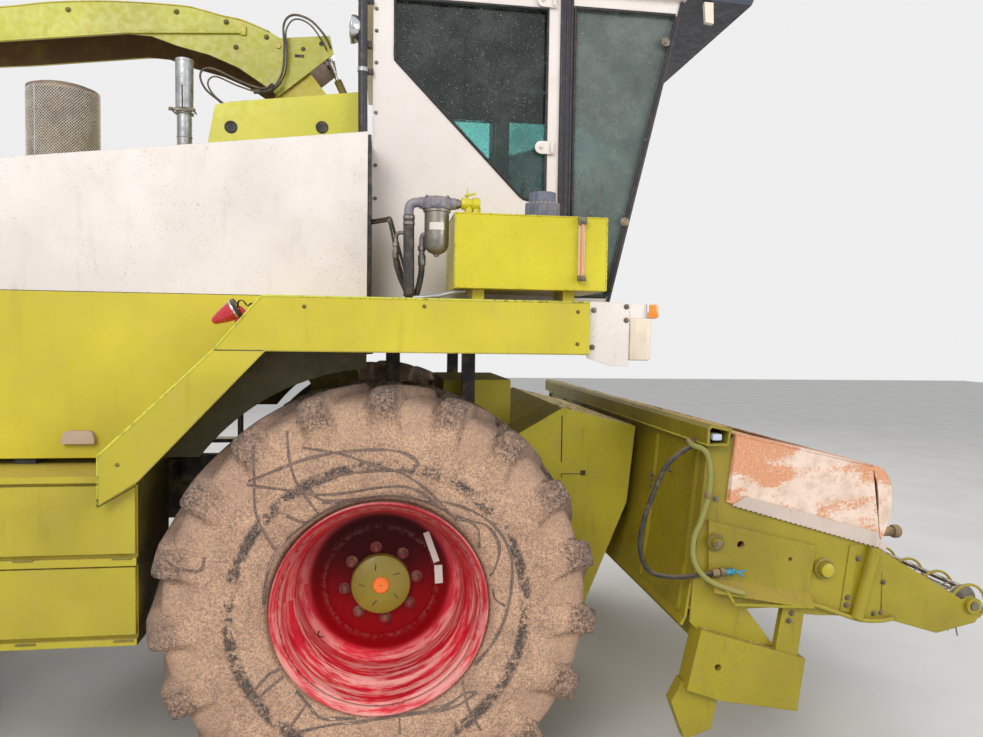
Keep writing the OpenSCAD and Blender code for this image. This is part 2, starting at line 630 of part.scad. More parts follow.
lamp_y = 1450;
module front_lamps() color(white) in_frame() both() {
    side(lamp_y - 8, lamp_y) polygon([[fender_x + 5, 1250], [fender_x + 5, 1017], [943, 985], [1012, 985], [1015, 1250]]);
    block([fender_x, lamp_y - 60, 1060], [fender_x + 30, lamp_y - 8, 1200]);
    difference() {
        block([930, lamp_y - 190, 1012], [1110, lamp_y - 8, 1185]);
        translate([1095, lamp_y - 99, 1098]) rotate([0, 90, 0]) cylinder(r = 72, h = 20, $fn = 48);
    }
    block([1015, lamp_y - 70, 1185], [1132, lamp_y - 8, 1245]);
}
function slope_at(x) = fender_z + (x + 457) * (fender_h - 2) / 179 + 2 * seat_gap;
module marker_lamps() color(red) in_frame() {
    translate([-570, 25 - lamp_y, 1190]) rotate([0, -120, 0]) {
        cylinder(r1 = 38, r2 = 14, h = 85, $fn = 48);
        translate([0, 0, -14]) cylinder(r = 40, h = 16, $fn = 48);
    }
    side(-lamp_y + 10, -lamp_y + 40) polygon([[-515, slope_at(-515)], [-565, slope_at(-565)], [-571, 1160],
        [-548, 1206]]);
    translate([ladder_x[0], lamp_y - 25, 1140]) rotate([0, -90, 0]) {
        cylinder(r = 40, h = 16, $fn = 48);
        translate([0, 0, 15]) cylinder(r1 = 38, r2 = 14, h = 85, $fn = 48);
    }
}
tank_x = [285, 920];
tank_y = 1420;
tank_z = [1295, 1600];
module hydraulic_tank() color(green) in_frame() {
    y1 = -cab_y - 60;
    difference() {
        block([tank_x[0], -tank_y, tank_z[0]], [tank_x[1], y1, tank_z[1]]);
        for (z = tank_z) translate([0, 0, z]) block([tank_x[0] - 1, -tank_y - 1, -1], [tank_x[1] + 1, -tank_y + 2, 1]);
    }
    for (x = [tank_x[0] + 80, fender_x - 80]) block([x, -tank_y + 60, fender_z], [x + 50, y1 - 190, tank_z[0]]);
    translate([668, -1300, tank_z[1]]) {
        cylinder(r = 70, h = 66, $fn = 48);
        translate([0, 0, 66]) cylinder(r = 53, h = 44, $fn = 48);
    }
    block([795, -tank_y - 12, tank_z[0] + 40], [820, -tank_y, tank_z[1] - 15]);
}
module oil_filter() color(grey) in_frame() translate([215, -1350, 0]) {
    translate([0, 0, 1435]) cylinder(r1 = 40, r2 = 50, h = 30, $fn = 48);
    translate([0, 0, 1465]) cylinder(r = 50, h = 150, $fn = 48);
    translate([0, 0, 1615]) cylinder(r = 60, h = 50, $fn = 48);
    block([30, -20, 1600], [tank_x[0] - 215 + 0, 20, 1660]);
    translate([tank_x[0] - 215, 0, tank_z[1]]) block([0, -20, 0], [60, 20, 60]);
    block([-115, -15, 1625], [-30, 15, 1655]);
    translate([-115, 0, 1560]) cylinder(r = 22, h = 95, $fn = 32);
}

// Cab

window_pts = [[37, 2640], [39, 2352], [665, 1738], [760, 1761], [760, 2640]];
// Front side glass: rear edge at the dark pillar, front edge on the leaning front post
front_low = [1081, 1291];
front_high = [1412, 2711];
pillar_x = 870;
post_w = 20;
sill_z = cab_z0 + 130;
lean = (front_high[0] - front_low[0]) / (front_high[1] - front_low[1]);
function front_at(z) = front_low[0] + lean * (z - front_low[1]);
module cab_side_wall() side(cab_y - cab_t, cab_y) difference() {
    polygon([[cab_x0, cab_z0 + cab_t], [front_at(cab_z0 + cab_t), cab_z0 + cab_t], [front_at(cab_z1), cab_z1],
        [cab_x0, cab_z1]]);
    children();
    polygon([[pillar_x, sill_z], [front_at(sill_z) - post_w, sill_z], [front_at(cab_z1 - 60) - post_w, cab_z1 - 60],
        [pillar_x, cab_z1 - 60]]);
}
door_x0 = cab_x0 + cab_t;
door_bottom = fender_z + 15;
door_top = cab_z1 - 25;
door_gap = 5;
module at_cab_hinges() for (z = [door_bottom + 120, door_top - 300]) translate([door_x0, cab_y, z]) children();
module cab_shell() color(white) in_frame() {
    y = cab_y - cab_t;
    block([cab_x0, -cab_y, cab_z0], [front_at(cab_z0 + cab_t), cab_y, cab_z0 + cab_t]);
    mirror([0, 1, 0]) cab_side_wall() polygon(window_pts);
    at_cab_hinges() {
        hinge_pin();
        block([-36, 0, 0], [0, hinge_r, 16]);
    }
    difference() {
        cab_side_wall() polygon([[door_x0 - door_gap, door_bottom - door_gap], [cab_x1 + door_gap, door_bottom - door_gap],
            [cab_x1 + door_gap, door_top + door_gap], [door_x0 - door_gap, door_top + door_gap]]);
        at_cab_hinges() knuckle_room();
    }
    difference() {
        block([cab_x0, -y, cab_z0 + cab_t], [cab_x0 + cab_t - 8, y, cab_z1]);
        block([cab_x0 - 1, -550, 1850], [cab_x0 + cab_t, 550, 2600]);
    }
    side(-y, y) polygon([[front_at(cab_z0 + cab_t) - 45, cab_z0 + cab_t], [front_at(cab_z0 + cab_t), cab_z0 + cab_t],
        [front_at(sill_z), sill_z], [front_at(sill_z) - 45, sill_z]]);
    side(-y, y) polygon([[front_at(cab_z1 - 60) - 45, cab_z1 - 60], [front_at(cab_z1 - 60), cab_z1 - 60],
        [front_at(cab_z1), cab_z1], [front_at(cab_z1) - 45, cab_z1]]);
}
module cab_roof() color(white) in_frame() side(-cab_y - 40, cab_y + 40)
    polygon([[cab_x0 - 60, cab_z1], [front_at(cab_z1) + 60, cab_z1], [front_at(cab_z1) + visor, cab_z1 - 10],
        [front_at(cab_z1) + visor + 15, cab_z1 + 25], [front_at(cab_z1) + visor - 90, cab_z1 + roof_t - 40],
        [front_at(cab_z1) - 60, cab_z1 + roof_t], [cab_x0 + 20, cab_z1 + roof_t], [cab_x0 - 60, cab_z1 + roof_t - 50]]);
module cab_glass() color("#9cc4c0") in_frame() {
    y = cab_y - cab_t / 2;
    g = seat_gap;
    side(-y, glass_t - y) offset(delta = -g) polygon(window_pts);
    both() side(y - glass_t, y) offset(delta = -g) polygon([[pillar_x, sill_z], [front_at(sill_z) - post_w, sill_z],
        [front_at(cab_z1 - 60) - post_w, cab_z1 - 60], [pillar_x, cab_z1 - 60]]);
    side(g + cab_t - cab_y, cab_y - cab_t - g) polygon([[front_at(sill_z + g) - 25, sill_z + g],
        [front_at(sill_z + g) - 25 + glass_t, sill_z + g], [front_at(cab_z1 - 60 - g) - 25 + glass_t, cab_z1 - 60 - g],
        [front_at(cab_z1 - 60 - g) - 25, cab_z1 - 60 - g]]);
    block([cab_x0 + 12, g - 550, 1850 + g], [cab_x0 + 12 + glass_t, 550 - g, 2600 - g]);
}
module cab_door() color(white) in_frame() difference() {
    union() {
        side(cab_y - cab_t, cab_y) difference() {
            polygon([[door_x0, door_bottom], [cab_x1, door_bottom], [cab_x1, door_top], [door_x0, door_top]]);
            polygon(window_pts);
        }
        block([cab_x1 - 90, cab_y, 1500], [cab_x1 - 70, cab_y + 35, 1660]);
        at_cab_hinges() hinge_knuckle();
    }
    at_cab_hinges() hinge_bore();
    at_cab_hinges() hinge_room();
}
module door_glass() color("#9cc4c0") in_frame() side(cab_y - cab_t / 2 - glass_t, cab_y - cab_t / 2)
    offset(delta = -seat_gap) polygon(window_pts);
floor_z = cab_z0 + cab_t;
module seat() color(dark) in_frame() {
    block([170, -160, floor_z], [520, 160, floor_z + 330]);
    side(-240, 240) polygon([[120, floor_z + 330], [620, floor_z + 330], [640, floor_z + 400], [600, floor_z + 440],
        [150, floor_z + 430], [80, floor_z + 1020], [0, floor_z + 1020], [60, floor_z + 400]]);
}
module steering_column() color(dark) in_frame() {
    block([890, -60, floor_z], [1005, 60, floor_z + 40]);
    rod([950, 0, floor_z + 20], [800, 0, floor_z + 640], 45);
    translate([795, 0, floor_z + 660]) rotate([0, -20, 0]) {
        rotate_extrude($fn = 48) translate([190, 0]) circle(r = 14, $fn = 16);
        for (a = [90, 210, 330]) rotate([0, 90, a]) cylinder(r = 9, h = 185, $fn = 16);
        translate([0, 0, -25]) cylinder(r = 45, h = 35, $fn = 32);
    }
    block([150, -560, floor_z], [800, -420, floor_z + 520]);
}

// Turret and spout

module turret() color(green) in_frame() difference() {
    union() {
        translate([-turret_x, 0, turret_z]) cylinder(r = 225, h = 30, $fn = 64);
        side(-turret_w, turret_w) polygon([[-590, turret_z + 20], [-270, turret_z + 20], [-302, 2400], [-446, 2580],
            [-555, 2674], [-600, 2674], [-600, 2610]]);
        // Boss of the arm's hinge and ears of the cylinder
        bar(arm_pin, 28, -turret_w, turret_w);
        bar(arm_pin, spout_pin_r, -arm_w - 6, arm_w + 6);
        for (s = [-1, 1]) side(s * 34 - 6, s * 34 + 6) polygon([[-300, turret_z + 20], [-200, turret_z + 20],
            [ram_pin[0] + 28, ram_pin[1]], [ram_pin[0], ram_pin[1] + 28], [-300, ram_pin[1] + 30]]);
    }
    bar(ram_pin, spout_pin_r / 2 + run_gap, -50, 50);
}
arm_top = [[-569, 2705], [-625, 2736], [-768, 2787], [-867, 2802], [-980, 2826], [-1093, 2840], [-1442, 2835],
    [-1731, 2807], [-1975, 2764], [-2450, 2705], [-2950, 2640], [-3380, 2575]];
arm_low = [[-3380, 2420], [-2950, 2480], [-2450, 2540], [-1971, 2591], [-1667, 2633], [-1356, 2673], [-1230, 2668],
    [-1104, 2628], [-935, 2590], [-789, 2534], [-660, 2453], [-574, 2394], [-282, 2639], [-302, 2737]];
arm_flange = [[-2950, 2488], [-2450, 2548], [-1971, 2599], [-1667, 2641], [-1356, 2684], [-1085, 2703], [-770, 2725]];
module spout_arm() color(green) in_frame() difference() {
    union() {
        both() side(arm_w - arm_t, arm_w) polygon(concat(arm_top, arm_low));
        side(arm_t - arm_w, arm_w - arm_t) polygon(below(arm_top, arm_t));
        both() side(arm_w - arm_t, arm_w + 14) polygon(below([for (i = [6:-1:0]) arm_flange[i]], 12));
        // Pins of the flap, and the bar that the lift cylinder pulls
        both() bar(flap_pin, spout_pin_r / 2, arm_w - arm_t, arm_w + 14 + flap_gap + arm_t + 3);
        bar(lever_pin, lever_bar_r, arm_t - arm_w, arm_w - arm_t);
    }
    bar(arm_pin, spout_pin_r + run_gap, -arm_w - 40, arm_w + 40);
}
module spout_flap() color(green) in_frame() difference() {
    y = arm_w + 14 + flap_gap;
    x = -spout_end;
    union() {
        both() side(y, y + arm_t) polygon([[-3350, 2570], [-3395, 2606], [x, 2528], [x, 2425], [-3440, 2410]]);
        side(-y, y) polygon([[-3395, 2606], [x, 2528], [x, 2520], [-3395, 2598]]);
    }
    bar(flap_pin, spout_pin_r / 2 + run_gap, -y - 20, y + 20);
}
module along_ram() translate([ram_pin[0], 0, ram_pin[1]]) rotate([0, 90 - ram_tilt, 0]) children();
module spout_barrel() color(dark) in_frame() along_ram() {
    difference() {
        union() {
            translate([0, 0, 16]) cylinder(r = ram_r, h = ram_len * 0.58, $fn = 32);
            bar([0, 0], 20, -24, 24);
        }
        translate([0, 0, 60]) cylinder(r = ram_rod_r + run_gap, h = ram_len, $fn = 32);
    }
    bar([0, 0], spout_pin_r / 2, -44, 44);
}
module spout_rod() color(grey) in_frame() along_ram() {
    eye = lever_bar_r + lever_play;
    translate([0, 0, ram_len * 0.43]) cylinder(r = ram_rod_r, h = ram_len * 0.57 - eye, $fn = 32);
    translate([0, 0, ram_len]) difference() {
        bar([0, 0], eye + 12, -14, 14);
        bar([0, 0], eye, -15, 15);
    }
}

// Feeder and lift cylinders

ear_y = rail_y - rail_w + ear_gap;
module feeder_housing() color(green) in_frame() difference() {
    union() {
        side(-390, 390) polygon([[330, 100], [330, 860], [700, 860], [700, 100]]);
        // Ears on the pins of the cutter housing
        both() side(ear_y, ear_y + ear_t) polygon([[180, 440], [610, 440], [610, 560], [180, 540], [130, 500]]);
        both() bar(pivot, pivot_pin_r + 28, ear_y, ear_y + ear_t);
        side(-740, 740) polygon([[600, 560], [910, 740], [1300, 645], [1262, 250], [1050, -265], [760, -200], [600, 60]]);
        both() for (s = [-1, 1]) side(lift_y + s * 42 - 10, lift_y + s * 42 + 10) polygon([[850, -200], [1060, -225],
            [lift_b[0] + 80, lift_b[1] - 20], [lift_b[0] + 30, lift_b[1] - 75], [lift_b[0] - 50, lift_b[1] - 65]]);
    }
    bar(pivot, drum_r + drum_gap, -ear_y, ear_y);
    bar(pivot, pivot_pin_r + run_gap, -500, 500);
    bar(lift_b, lift_pin_r + lift_play, -lift_y - 60, -lift_y + 60);
    bar(lift_b, lift_pin_r + lift_play, lift_y - 60, lift_y + 60);
}
module along_lift() both() translate([lift_a[0], lift_y, lift_a[1]]) rotate([0, 90 - lift_tilt, 0]) children();
module lift_barrels() color(dark) in_frame() along_lift() {
    difference() {
        union() {
            translate([0, 0, 64]) cylinder(r = lift_r, h = 466, $fn = 48);
            translate([0, 0, 20]) cylinder(r = 28, h = 50, $fn = 48);
            bar([0, 0], 38, -30, 30);
        }
        translate([0, 0, 84]) cylinder(r = lift_rod_r + run_gap, h = 600, $fn = 48);
    }
    bar([0, 0], lift_pin_r, -52, 52);
}
module lift_rods() color(grey) in_frame() along_lift() {
    translate([0, 0, 280]) cylinder(r = lift_rod_r, h = lift_len - 290, $fn = 48);
    translate([0, 0, lift_len]) {
        bar([0, 0], 36, -28, 28);
        bar([0, 0], lift_pin_r, -60, 60);
    }
}

// Header

mouth_y = 400;
// Points of the trough under the auger, and of the floor from the rear wall to its front edge
function trough(a) = auger_c + (auger_r + 12) * [cos(a), sin(a)];
floor_line = concat([[1280, -30], [1700, -30]], [for (a = [-125:14:-55]) trough(a)], [[2300, -60], [2420, -13.8]]);
stub_r = 24;
reel_stub_r = 18;
box_inner = header_y - 60;
module header_frame() color(green) in_frame() {
    y = header_y - sheet_t;
    // Rear wall with the feeder's mouth, its ribs and the floor
    difference() {
        side(-y, y) polygon([[1349, 662], [1361, 662], [1319, 179], [1281, -73], [1262, -110], [1250, -100], [1269, -73],
            [1307, 179]]);
        block([1200, -mouth_y, -60], [1400, mouth_y, 520]);
    }
    for (y = [-1430, -960, 960, 1430]) side(y - 7, y + 7)
        polygon([[1349, 640], [1307, 179], [1273, -60], [1258, -60], [1290, 179], [1333, 640]]);
    // Posts that rest against the feeder's front
    both() side(mouth_y, mouth_y + 60) polygon([[1300 + seat_gap, 640], [1262 + seat_gap, 250],
        [1135 + seat_gap, -60], [1271, -60], [1308, 179], [1348, 640]]);
    side(-y, y) polygon(below(floor_line, sheet_t));
    // Top beam, a channel open to the inside
    difference() {
        side(-beam_y, beam_y) polygon([[1325, 662], [1420, 662], [1432, 735], [1340, 752], [1325, 735]]);
        side(-beam_y - 1, beam_y + 1) polygon([[1337, 670], [1412, 674], [1418, 722], [1345, 738], [1337, 730]]);
    }
    // Tube across the front of the covers
    bar([1960, 565], 24, -y, y);
    // Lower beam between the end boxes
    side(seat_gap - box_inner, box_inner - seat_gap) polygon([[1390, -150], [1500, -155], [1500, -250], [1390, -245]]);
    for (y = [-1000, -500, 0, 500, 1000]) block([1400, y - 10, -160], [1480, y + 10, -34]);
}
wall_pts = [[1349, 660], [1430, 655], [1469, 700], [2090, 560], [2152, 215], [2188, 175], [2572, -47], [2622, -28],
    [2662, -60], [2665, -110], [2640, -150], [2450, -190], [2233, -125], [2133, -122], [2026, -98], [1960, -90],
    [1891, -87], [1822, -80], [1760, -62], [1700, -44], [1544, -44], [1680, -215], [1330, -130], [1291, -91], [1307, 179]];
box_pts = [[1326, -112], [1800, -258], [1770, -485], [1427, -422], [1270, -367]];
module header_sides() color(green) in_frame() both() difference() {
    union() {
        side(header_y - sheet_t, header_y) polygon(wall_pts);
        // Raised panel, bosses, sloping tray, tube and the box with its holes
        side(header_y, header_y + 14) polygon([[1358, 343], [1850, 223], [1816, -5], [1364, 110]]);
        bar([1386, 253], 38, header_y + 14, header_y + 26);
        bar([1386, 253], 20, header_y + 26, header_y + 48);
        bar(auger_c, stub_r + 22, header_y, header_y + 12);
        bar(auger_c, stub_r + 7, header_y, header_y + 40);
        bar(reel_c, reel_stub_r + 18, header_y, header_y + 16);
        translate([1381, header_y - 2, 114]) rotate([0, 10.65, 0]) rotate([90, 0, 90]) linear_extrude(460)
            polygon([[0, 0], [64, -58], [64, -66], [0, -8]]);
        side(header_y, header_y + 5) polygon([[2013, 217], [2052, 221], [2025, -82], [1978, -69]]);
        rod([2124, header_y + 18, 208], [2046, header_y + 18, -98], 26);
        side(box_inner, header_y + 40) polygon(box_pts);
        side(header_y - 60, header_y) polygon([[1265, -345], [1430, -405], [1400, -560], [1283, -600], [1219, -433]]);
        side(header_y, header_y + 30) polygon([[1703, 15], [1800, 0], [1768, -258], [1664, -224]]);
    }
    bar([1504, 237], 16, header_y - 20, header_y + 30);
    bar([1731, 167], 9, header_y - 20, header_y + 30);
    bar([1405, -276], 14, header_y, header_y + 60);
    bar(auger_c, stub_r + run_gap, header_y - 20, header_y + 33);
    bar(reel_c, reel_stub_r + run_gap, header_y - 20, header_y + 30);
}
// Rolled front of the hood over the auger, and the end plate of the roll
nose_out = [[2098, 571], [2135, 562], [2162, 545], [2185, 515], [2199, 470], [2203, 410], [2196, 345], [2180, 290],
    [2161, 240]];
nose_in = [[2154, 245], [2172, 293], [2188, 346], [2195, 410], [2191, 468], [2178, 511], [2158, 538], [2132, 554],
    [2098, 563]];
nose_end = [[2112, 540], [2130, 490], [2139, 420], [2143, 340], [2150, 262]];
module header_covers() color(white) in_frame() {
    g = seat_gap;
    both() {
        side(header_y - 300, header_y - 292) polygon([[1480, 702], [1925, 605], [1925, 495], [1500, 600]]);
        side(header_y + g, header_y + 8) polygon([[1469, 700 + g], [2105, 562 + g], [2154, 215], [1437, 419]]);
        side(header_y - 300, header_y + 8) polygon([[1469, 700 + g], [2105, 562 + g], [2106, 570], [1471, 708]]);
        side(header_y + g, header_y + 8) polygon(concat(nose_out, [for (i = [4:-1:0]) nose_end[i]]));
    }
    side(-header_y - 8, header_y + 8) polygon(concat(nose_out, nose_in));
}
module flight(h) linear_extrude(height = h, twist = 360 * h / flight_pitch, slices = 30, segments = 4)
    translate([auger_tube_r - 20, -8]) square([auger_r - auger_tube_r + 20, 16]);
module header_auger() color(red) in_frame() translate([auger_c[0], 0, auger_c[1]]) rotate([-90, 0, 0]) {
    end = header_y - sheet_t - 10;
    translate([0, 0, -end]) cylinder(r = auger_tube_r, h = 2 * end, $fn = 64);
    translate([0, 0, -header_y - 30]) cylinder(r = stub_r, h = 2 * (header_y + 30), $fn = 48);
    for (s = [0, 1]) mirror([0, 0, s]) translate([0, 0, 330]) flight(end - 340);
}
reel_tube_r = 36;
module pickup_reel() color(dark) in_frame() translate([reel_c[0], 0, reel_c[1]]) rotate([90, 0, 0]) {
    end = header_y - 60;
    translate([0, 0, -end]) cylinder(r = reel_tube_r, h = 2 * end, $fn = 48);
    translate([0, 0, -header_y - 22]) cylinder(r = reel_stub_r, h = 2 * (header_y + 22), $fn = 32);
    for (b = tine_bars) {
        p = bar_ring * [cos(b[0]), sin(b[0])];
        translate([p[0], p[1], -end]) cylinder(r = 11, h = 2 * end, $fn = 16);
        for (i = [0:hoop_count - 2]) for (s = [-30, 30])
            translate([p[0], p[1], (i - (hoop_count - 2) / 2) * hoop_pitch + s]) rotate([0, 90, b[1]])
                cylinder(r = tine_d / 2, h = tine_r - bar_ring, $fn = 6);
    }
    for (y = [-end, 0, end - 8]) translate([0, 0, y]) cylinder(r = 72, h = 8, $fn = 48);
}
// Hoops that strip the tines, on a bar along the front edge of the floor
hoop_bar = [2412, -3.5];
hoop_rod_r = 6.3;
hoop_end = 150;
module pickup_hoops() color(green) in_frame() {
    y = header_y - sheet_t - seat_gap;
    bar(hoop_bar, 12, -y, y);
    tail = reel_c + hoop_r * [cos(hoop_end), sin(hoop_end)];
    for (i = [0:hoop_count - 1]) translate([0, (i - (hoop_count - 1) / 2) * hoop_pitch, 0]) {
        translate([reel_c[0], 0, reel_c[1]]) rotate([90, 0, 0]) rotate_extrude(angle = hoop_end + 50, start = -50, $fn = 48)
            translate([hoop_r, 0]) circle(r = hoop_rod_r, $fn = 16);
        rod([tail[0], 0, tail[1]], [hoop_bar[0], 0, hoop_bar[1]], hoop_rod_r, 16);
    }
}

chassis_frame();
front_axle();
cutter_housing();
engine_block();
tow_hitch();
rear_body();
rear_screen_door();
hood_top();
upper_side_panels();
lower_side_panels();
toolbox();
toolbox_door_upper();
toolbox_door_lower();
battery_box();
fender_right();
platform_left();
ladder_left();
front_lamps();
marker_lamps();
hydraulic_tank();
oil_filter();
cab_shell();
cab_roof();
cab_glass();
cab_door();
door_glass();
seat();
steering_column();
exhaust_pipe();
air_screen();
turret();
spout_arm();
spout_flap();
spout_barrel();
spout_rod();
feeder_housing();
header_frame();
header_sides();
header_covers();
header_auger();
pickup_reel();
pickup_hoops();
lift_barrels();
lift_rods();
tyre_front_right();
tyre_front_left();
rim_front_right();
rim_front_left();
rear_axle();
knuckle_right();
knuckle_left();
tie_rod();
tyre_rear_right();
tyre_rear_left();
rim_rear_right();
rim_rear_left();
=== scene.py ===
# The looks of a self-propelled forage harvester with a pickup header.
# Metres, and millimetres in texts of numbers. at() measures from the middle of the front axle: X forward,
# Y to the machine's left, Z up. Points written as plain numbers are measured like that too.
import math
import random

import bmesh
import bpy
from mathutils import Matrix, Vector, noise
from mathutils.bvhtree import BVHTree


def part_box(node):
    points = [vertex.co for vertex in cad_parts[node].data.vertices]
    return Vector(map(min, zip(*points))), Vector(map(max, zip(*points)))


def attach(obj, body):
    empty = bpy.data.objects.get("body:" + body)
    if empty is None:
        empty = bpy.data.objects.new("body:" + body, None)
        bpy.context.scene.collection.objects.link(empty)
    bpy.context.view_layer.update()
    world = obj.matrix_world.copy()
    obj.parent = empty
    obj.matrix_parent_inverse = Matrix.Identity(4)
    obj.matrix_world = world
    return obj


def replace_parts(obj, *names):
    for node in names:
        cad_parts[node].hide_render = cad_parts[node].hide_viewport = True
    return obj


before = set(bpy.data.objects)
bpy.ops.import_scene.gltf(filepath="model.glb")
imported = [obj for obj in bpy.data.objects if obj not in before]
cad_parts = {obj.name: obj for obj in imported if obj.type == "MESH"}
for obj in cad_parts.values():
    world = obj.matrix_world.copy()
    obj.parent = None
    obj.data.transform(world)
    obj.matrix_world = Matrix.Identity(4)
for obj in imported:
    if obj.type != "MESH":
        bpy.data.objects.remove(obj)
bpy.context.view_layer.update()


def middle(node):
    low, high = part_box(node)
    return (low + high) / 2


AXLE = middle("tyre_front_right")
AXLE.y = 0.0
RIGHT, LEFT = -1, 1
SIDES = ((RIGHT, "right"), (LEFT, "left"))
CIRCLE = 2 * math.pi
FORWARD, UP = (1, 0, 0), (0, 0, 1)


def at(x, y, z):
    return Vector((AXLE.x + x, y, AXLE.z + z))


def placed(point):
    """The point itself, or where at() puts three numbers."""
    return point if isinstance(point, Vector) else at(*point)


def pairs(text):
    """Numbers in groups: commas inside a group and blanks between groups."""
    return [tuple(float(v) for v in group.split(",")) for group in text.split()]


def mm(groups):
    """Groups of millimetres written as text, in metres; anything else stays as it is."""
    if not isinstance(groups, str):
        return groups
    return [tuple(v / 1000 for v in group) for group in pairs(groups)]


def on_side(outline, y):
    return [(x, y, z) for x, z in mm(outline)]


def mirrored(side, points):
    return [(x, side * y, z) for x, y, z in mm(points)]


def span(side, near, far):
    """The lower and the higher Y between two distances from the middle plane."""
    return sorted((side * near, side * far))


def around(radius, degrees, y=0.0):
    """A point on a circle in X and Z, and y to the side."""
    a = math.radians(degrees)
    return Vector((radius * math.cos(a), y, radius * math.sin(a)))


# Camera at the photograph's viewpoint

CAMERA_PLACE = at(0.0, -4.44, 1.108)
FOCAL_PX = 745.0
IMAGE_W = 983
SENSOR = 36.0
# Directions of the camera's view and of its right, in the object's frame
VIEW_AXIS = Vector((0.14450, 0.98846, -0.04541))
RIGHT_AXIS = Vector((0.98947, -0.14396, 0.01498))


def make_camera():
    data = bpy.data.cameras.new("camera")
    data.sensor_width = SENSOR
    data.lens = SENSOR * FOCAL_PX / IMAGE_W
    camera = bpy.data.objects.new("camera", data)
    bpy.context.scene.collection.objects.link(camera)
    back = -VIEW_AXIS.normalized()
    right = RIGHT_AXIS.normalized()
    up = back.cross(right).normalized()
    camera.matrix_world = Matrix.Translation(CAMERA_PLACE) @ Matrix((right, up, back)).transposed().to_4x4()
    bpy.context.scene.camera = camera


# Materials


def hexed(text):
    """A colour as written in hex, in linear values."""
    parts = [int(text[i:i + 2], 16) / 255 for i in (1, 3, 5)]
    return tuple(p / 12.92 if p <= 0.04045 else ((p + 0.055) / 1.055) ** 2.4 for p in parts)


class Shade:
    """One node material, with the few kinds of node that the finishes below are made of."""

    def __init__(self, name, **settings):
        self.material = bpy.data.materials.new(name)
        self.material.use_nodes = True
        self.tree = self.material.node_tree
        self.tree.nodes.clear()
        self.output = self.add("ShaderNodeOutputMaterial")
        self.surface = self.add("ShaderNodeBsdfPrincipled")
        self.link(self.surface.outputs["BSDF"], self.output.inputs["Surface"])
        for key, value in settings.items():
            self.surface.inputs[key.replace("_", " ")].default_value = value
        self.place = self.add("ShaderNodeTexCoord").outputs["Object"]

    def add(self, kind, **settings):
        node = self.tree.nodes.new(kind)
        for key, value in settings.items():
            setattr(node, key, value)
        return node

    def link(self, out, into):
        self.tree.links.new(out, into)

    def put(self, value, socket):
        """A number, a colour in hex or another node's output, into a socket."""
        if isinstance(value, (int, float)):
            socket.default_value = value
        elif isinstance(value, str):
            socket.default_value = (*hexed(value), 1.0)
        else:
            self.link(value, socket)

    def maths(self, operation, *values):
        node = self.add("ShaderNodeMath", operation=operation)
        for value, socket in zip(values, node.inputs):
            self.put(value, socket)
        return node.outputs[0]

    def times(self, first, *others):
        for other in others:
            first = self.maths("MULTIPLY", first, other)
        return first

    def step(self, value, low, high, to_low=0.0, to_high=1.0):
        node = self.add("ShaderNodeMapRange", interpolation_type="SMOOTHSTEP")
        names = ("Value", "From Min", "From Max", "To Min", "To Max")
        for name, v in zip(names, (value, low, high, to_low, to_high)):
            self.put(v, node.inputs[name])
        return node.outputs[0]

    def noise(self, scale, detail, rough=0.55, stretch=None, place=None):
        vector = place or self.place
        if stretch:
            mapping = self.add("ShaderNodeMapping")
            mapping.inputs["Scale"].default_value = stretch
            self.link(vector, mapping.inputs["Vector"])
            vector = mapping.outputs[0]
        node = self.add("ShaderNodeTexNoise")
        self.link(vector, node.inputs["Vector"])
        for name, v in (("Scale", scale), ("Detail", detail), ("Roughness", rough)):
            node.inputs[name].default_value = v
        return node.outputs["Fac"]

    def cloud(self, scale, detail, rough, low, high, *to):
        """Noise brought from low..high to 0..1, or to the two values given."""
        return self.step(self.noise(scale, detail, rough), low, high, *to)

    def mix(self, share, a, b):
        node = self.add("ShaderNodeMix", data_type="RGBA")
        for value, k in ((share, 0), (a, 6), (b, 7)):
            self.put(value, node.inputs[k])
        return node.outputs[2]

    def split(self, vector):
        node = self.add("ShaderNodeSeparateXYZ")
        self.link(vector, node.inputs[0])
        return node.outputs

    def along(self, axis):
        return self.split(self.place)[axis]

    def facing(self, axis):
        return self.split(self.add("ShaderNodeNewGeometry").outputs["Normal"])[axis]

    def bevel(self, radius):
        node = self.add("ShaderNodeBevel", samples=4)
        node.inputs["Radius"].default_value = radius
        return node.outputs[0]

    def edges(self, radius):
        """1 along sharp edges and 0 on flat faces."""
        dot = self.add("ShaderNodeVectorMath", operation="DOT_PRODUCT")
        self.link(self.bevel(radius), dot.inputs[0])
        self.link(self.add("ShaderNodeNewGeometry").outputs["True Normal"], dot.inputs[1])
        return self.step(dot.outputs["Value"], 0.995, 0.86)

    def relief(self, height, strength, distance, rounding=0.0):
        bump = self.add("ShaderNodeBump")
        bump.inputs["Strength"].default_value = strength
        bump.inputs["Distance"].default_value = distance
        self.link(height, bump.inputs["Height"])
        if rounding:
            self.link(self.bevel(rounding), bump.inputs["Normal"])
        self.link(bump.outputs[0], self.surface.inputs["Normal"])

    def colour(self, value):
        self.put(value, self.surface.inputs["Base Color"])

    def rough(self, value):
        self.put(value, self.surface.inputs["Roughness"])


# Share of the pitch between the forward direction and the first lug of a front tyre's outer half
LUG_PHASE = 0.75
VISOR_X = at(1.425, 0, 0).x
FRONT_PANE_X = at(0.86, 0, 0).x
DECK_Z = at(0, 0, 1.03).z
# Faces of the spout's arm nearer to its middle than this are inside it
ARM_INSIDE = 0.173
# Height less distance forward, in the frame, under which the right panels in the wheel's arch are painted
# in shadow
ARCH_SHADE = 2.07
# Near-black of the painted shadow in the wheel's arch and on faces turned forward
PAINTED_SHADE = "#1d1b0b"
DUST = "#b99a6a"
STRAW = "#a8905a"
SOOT = "#1d1a17"
PRIMER = "#4b3a2c"


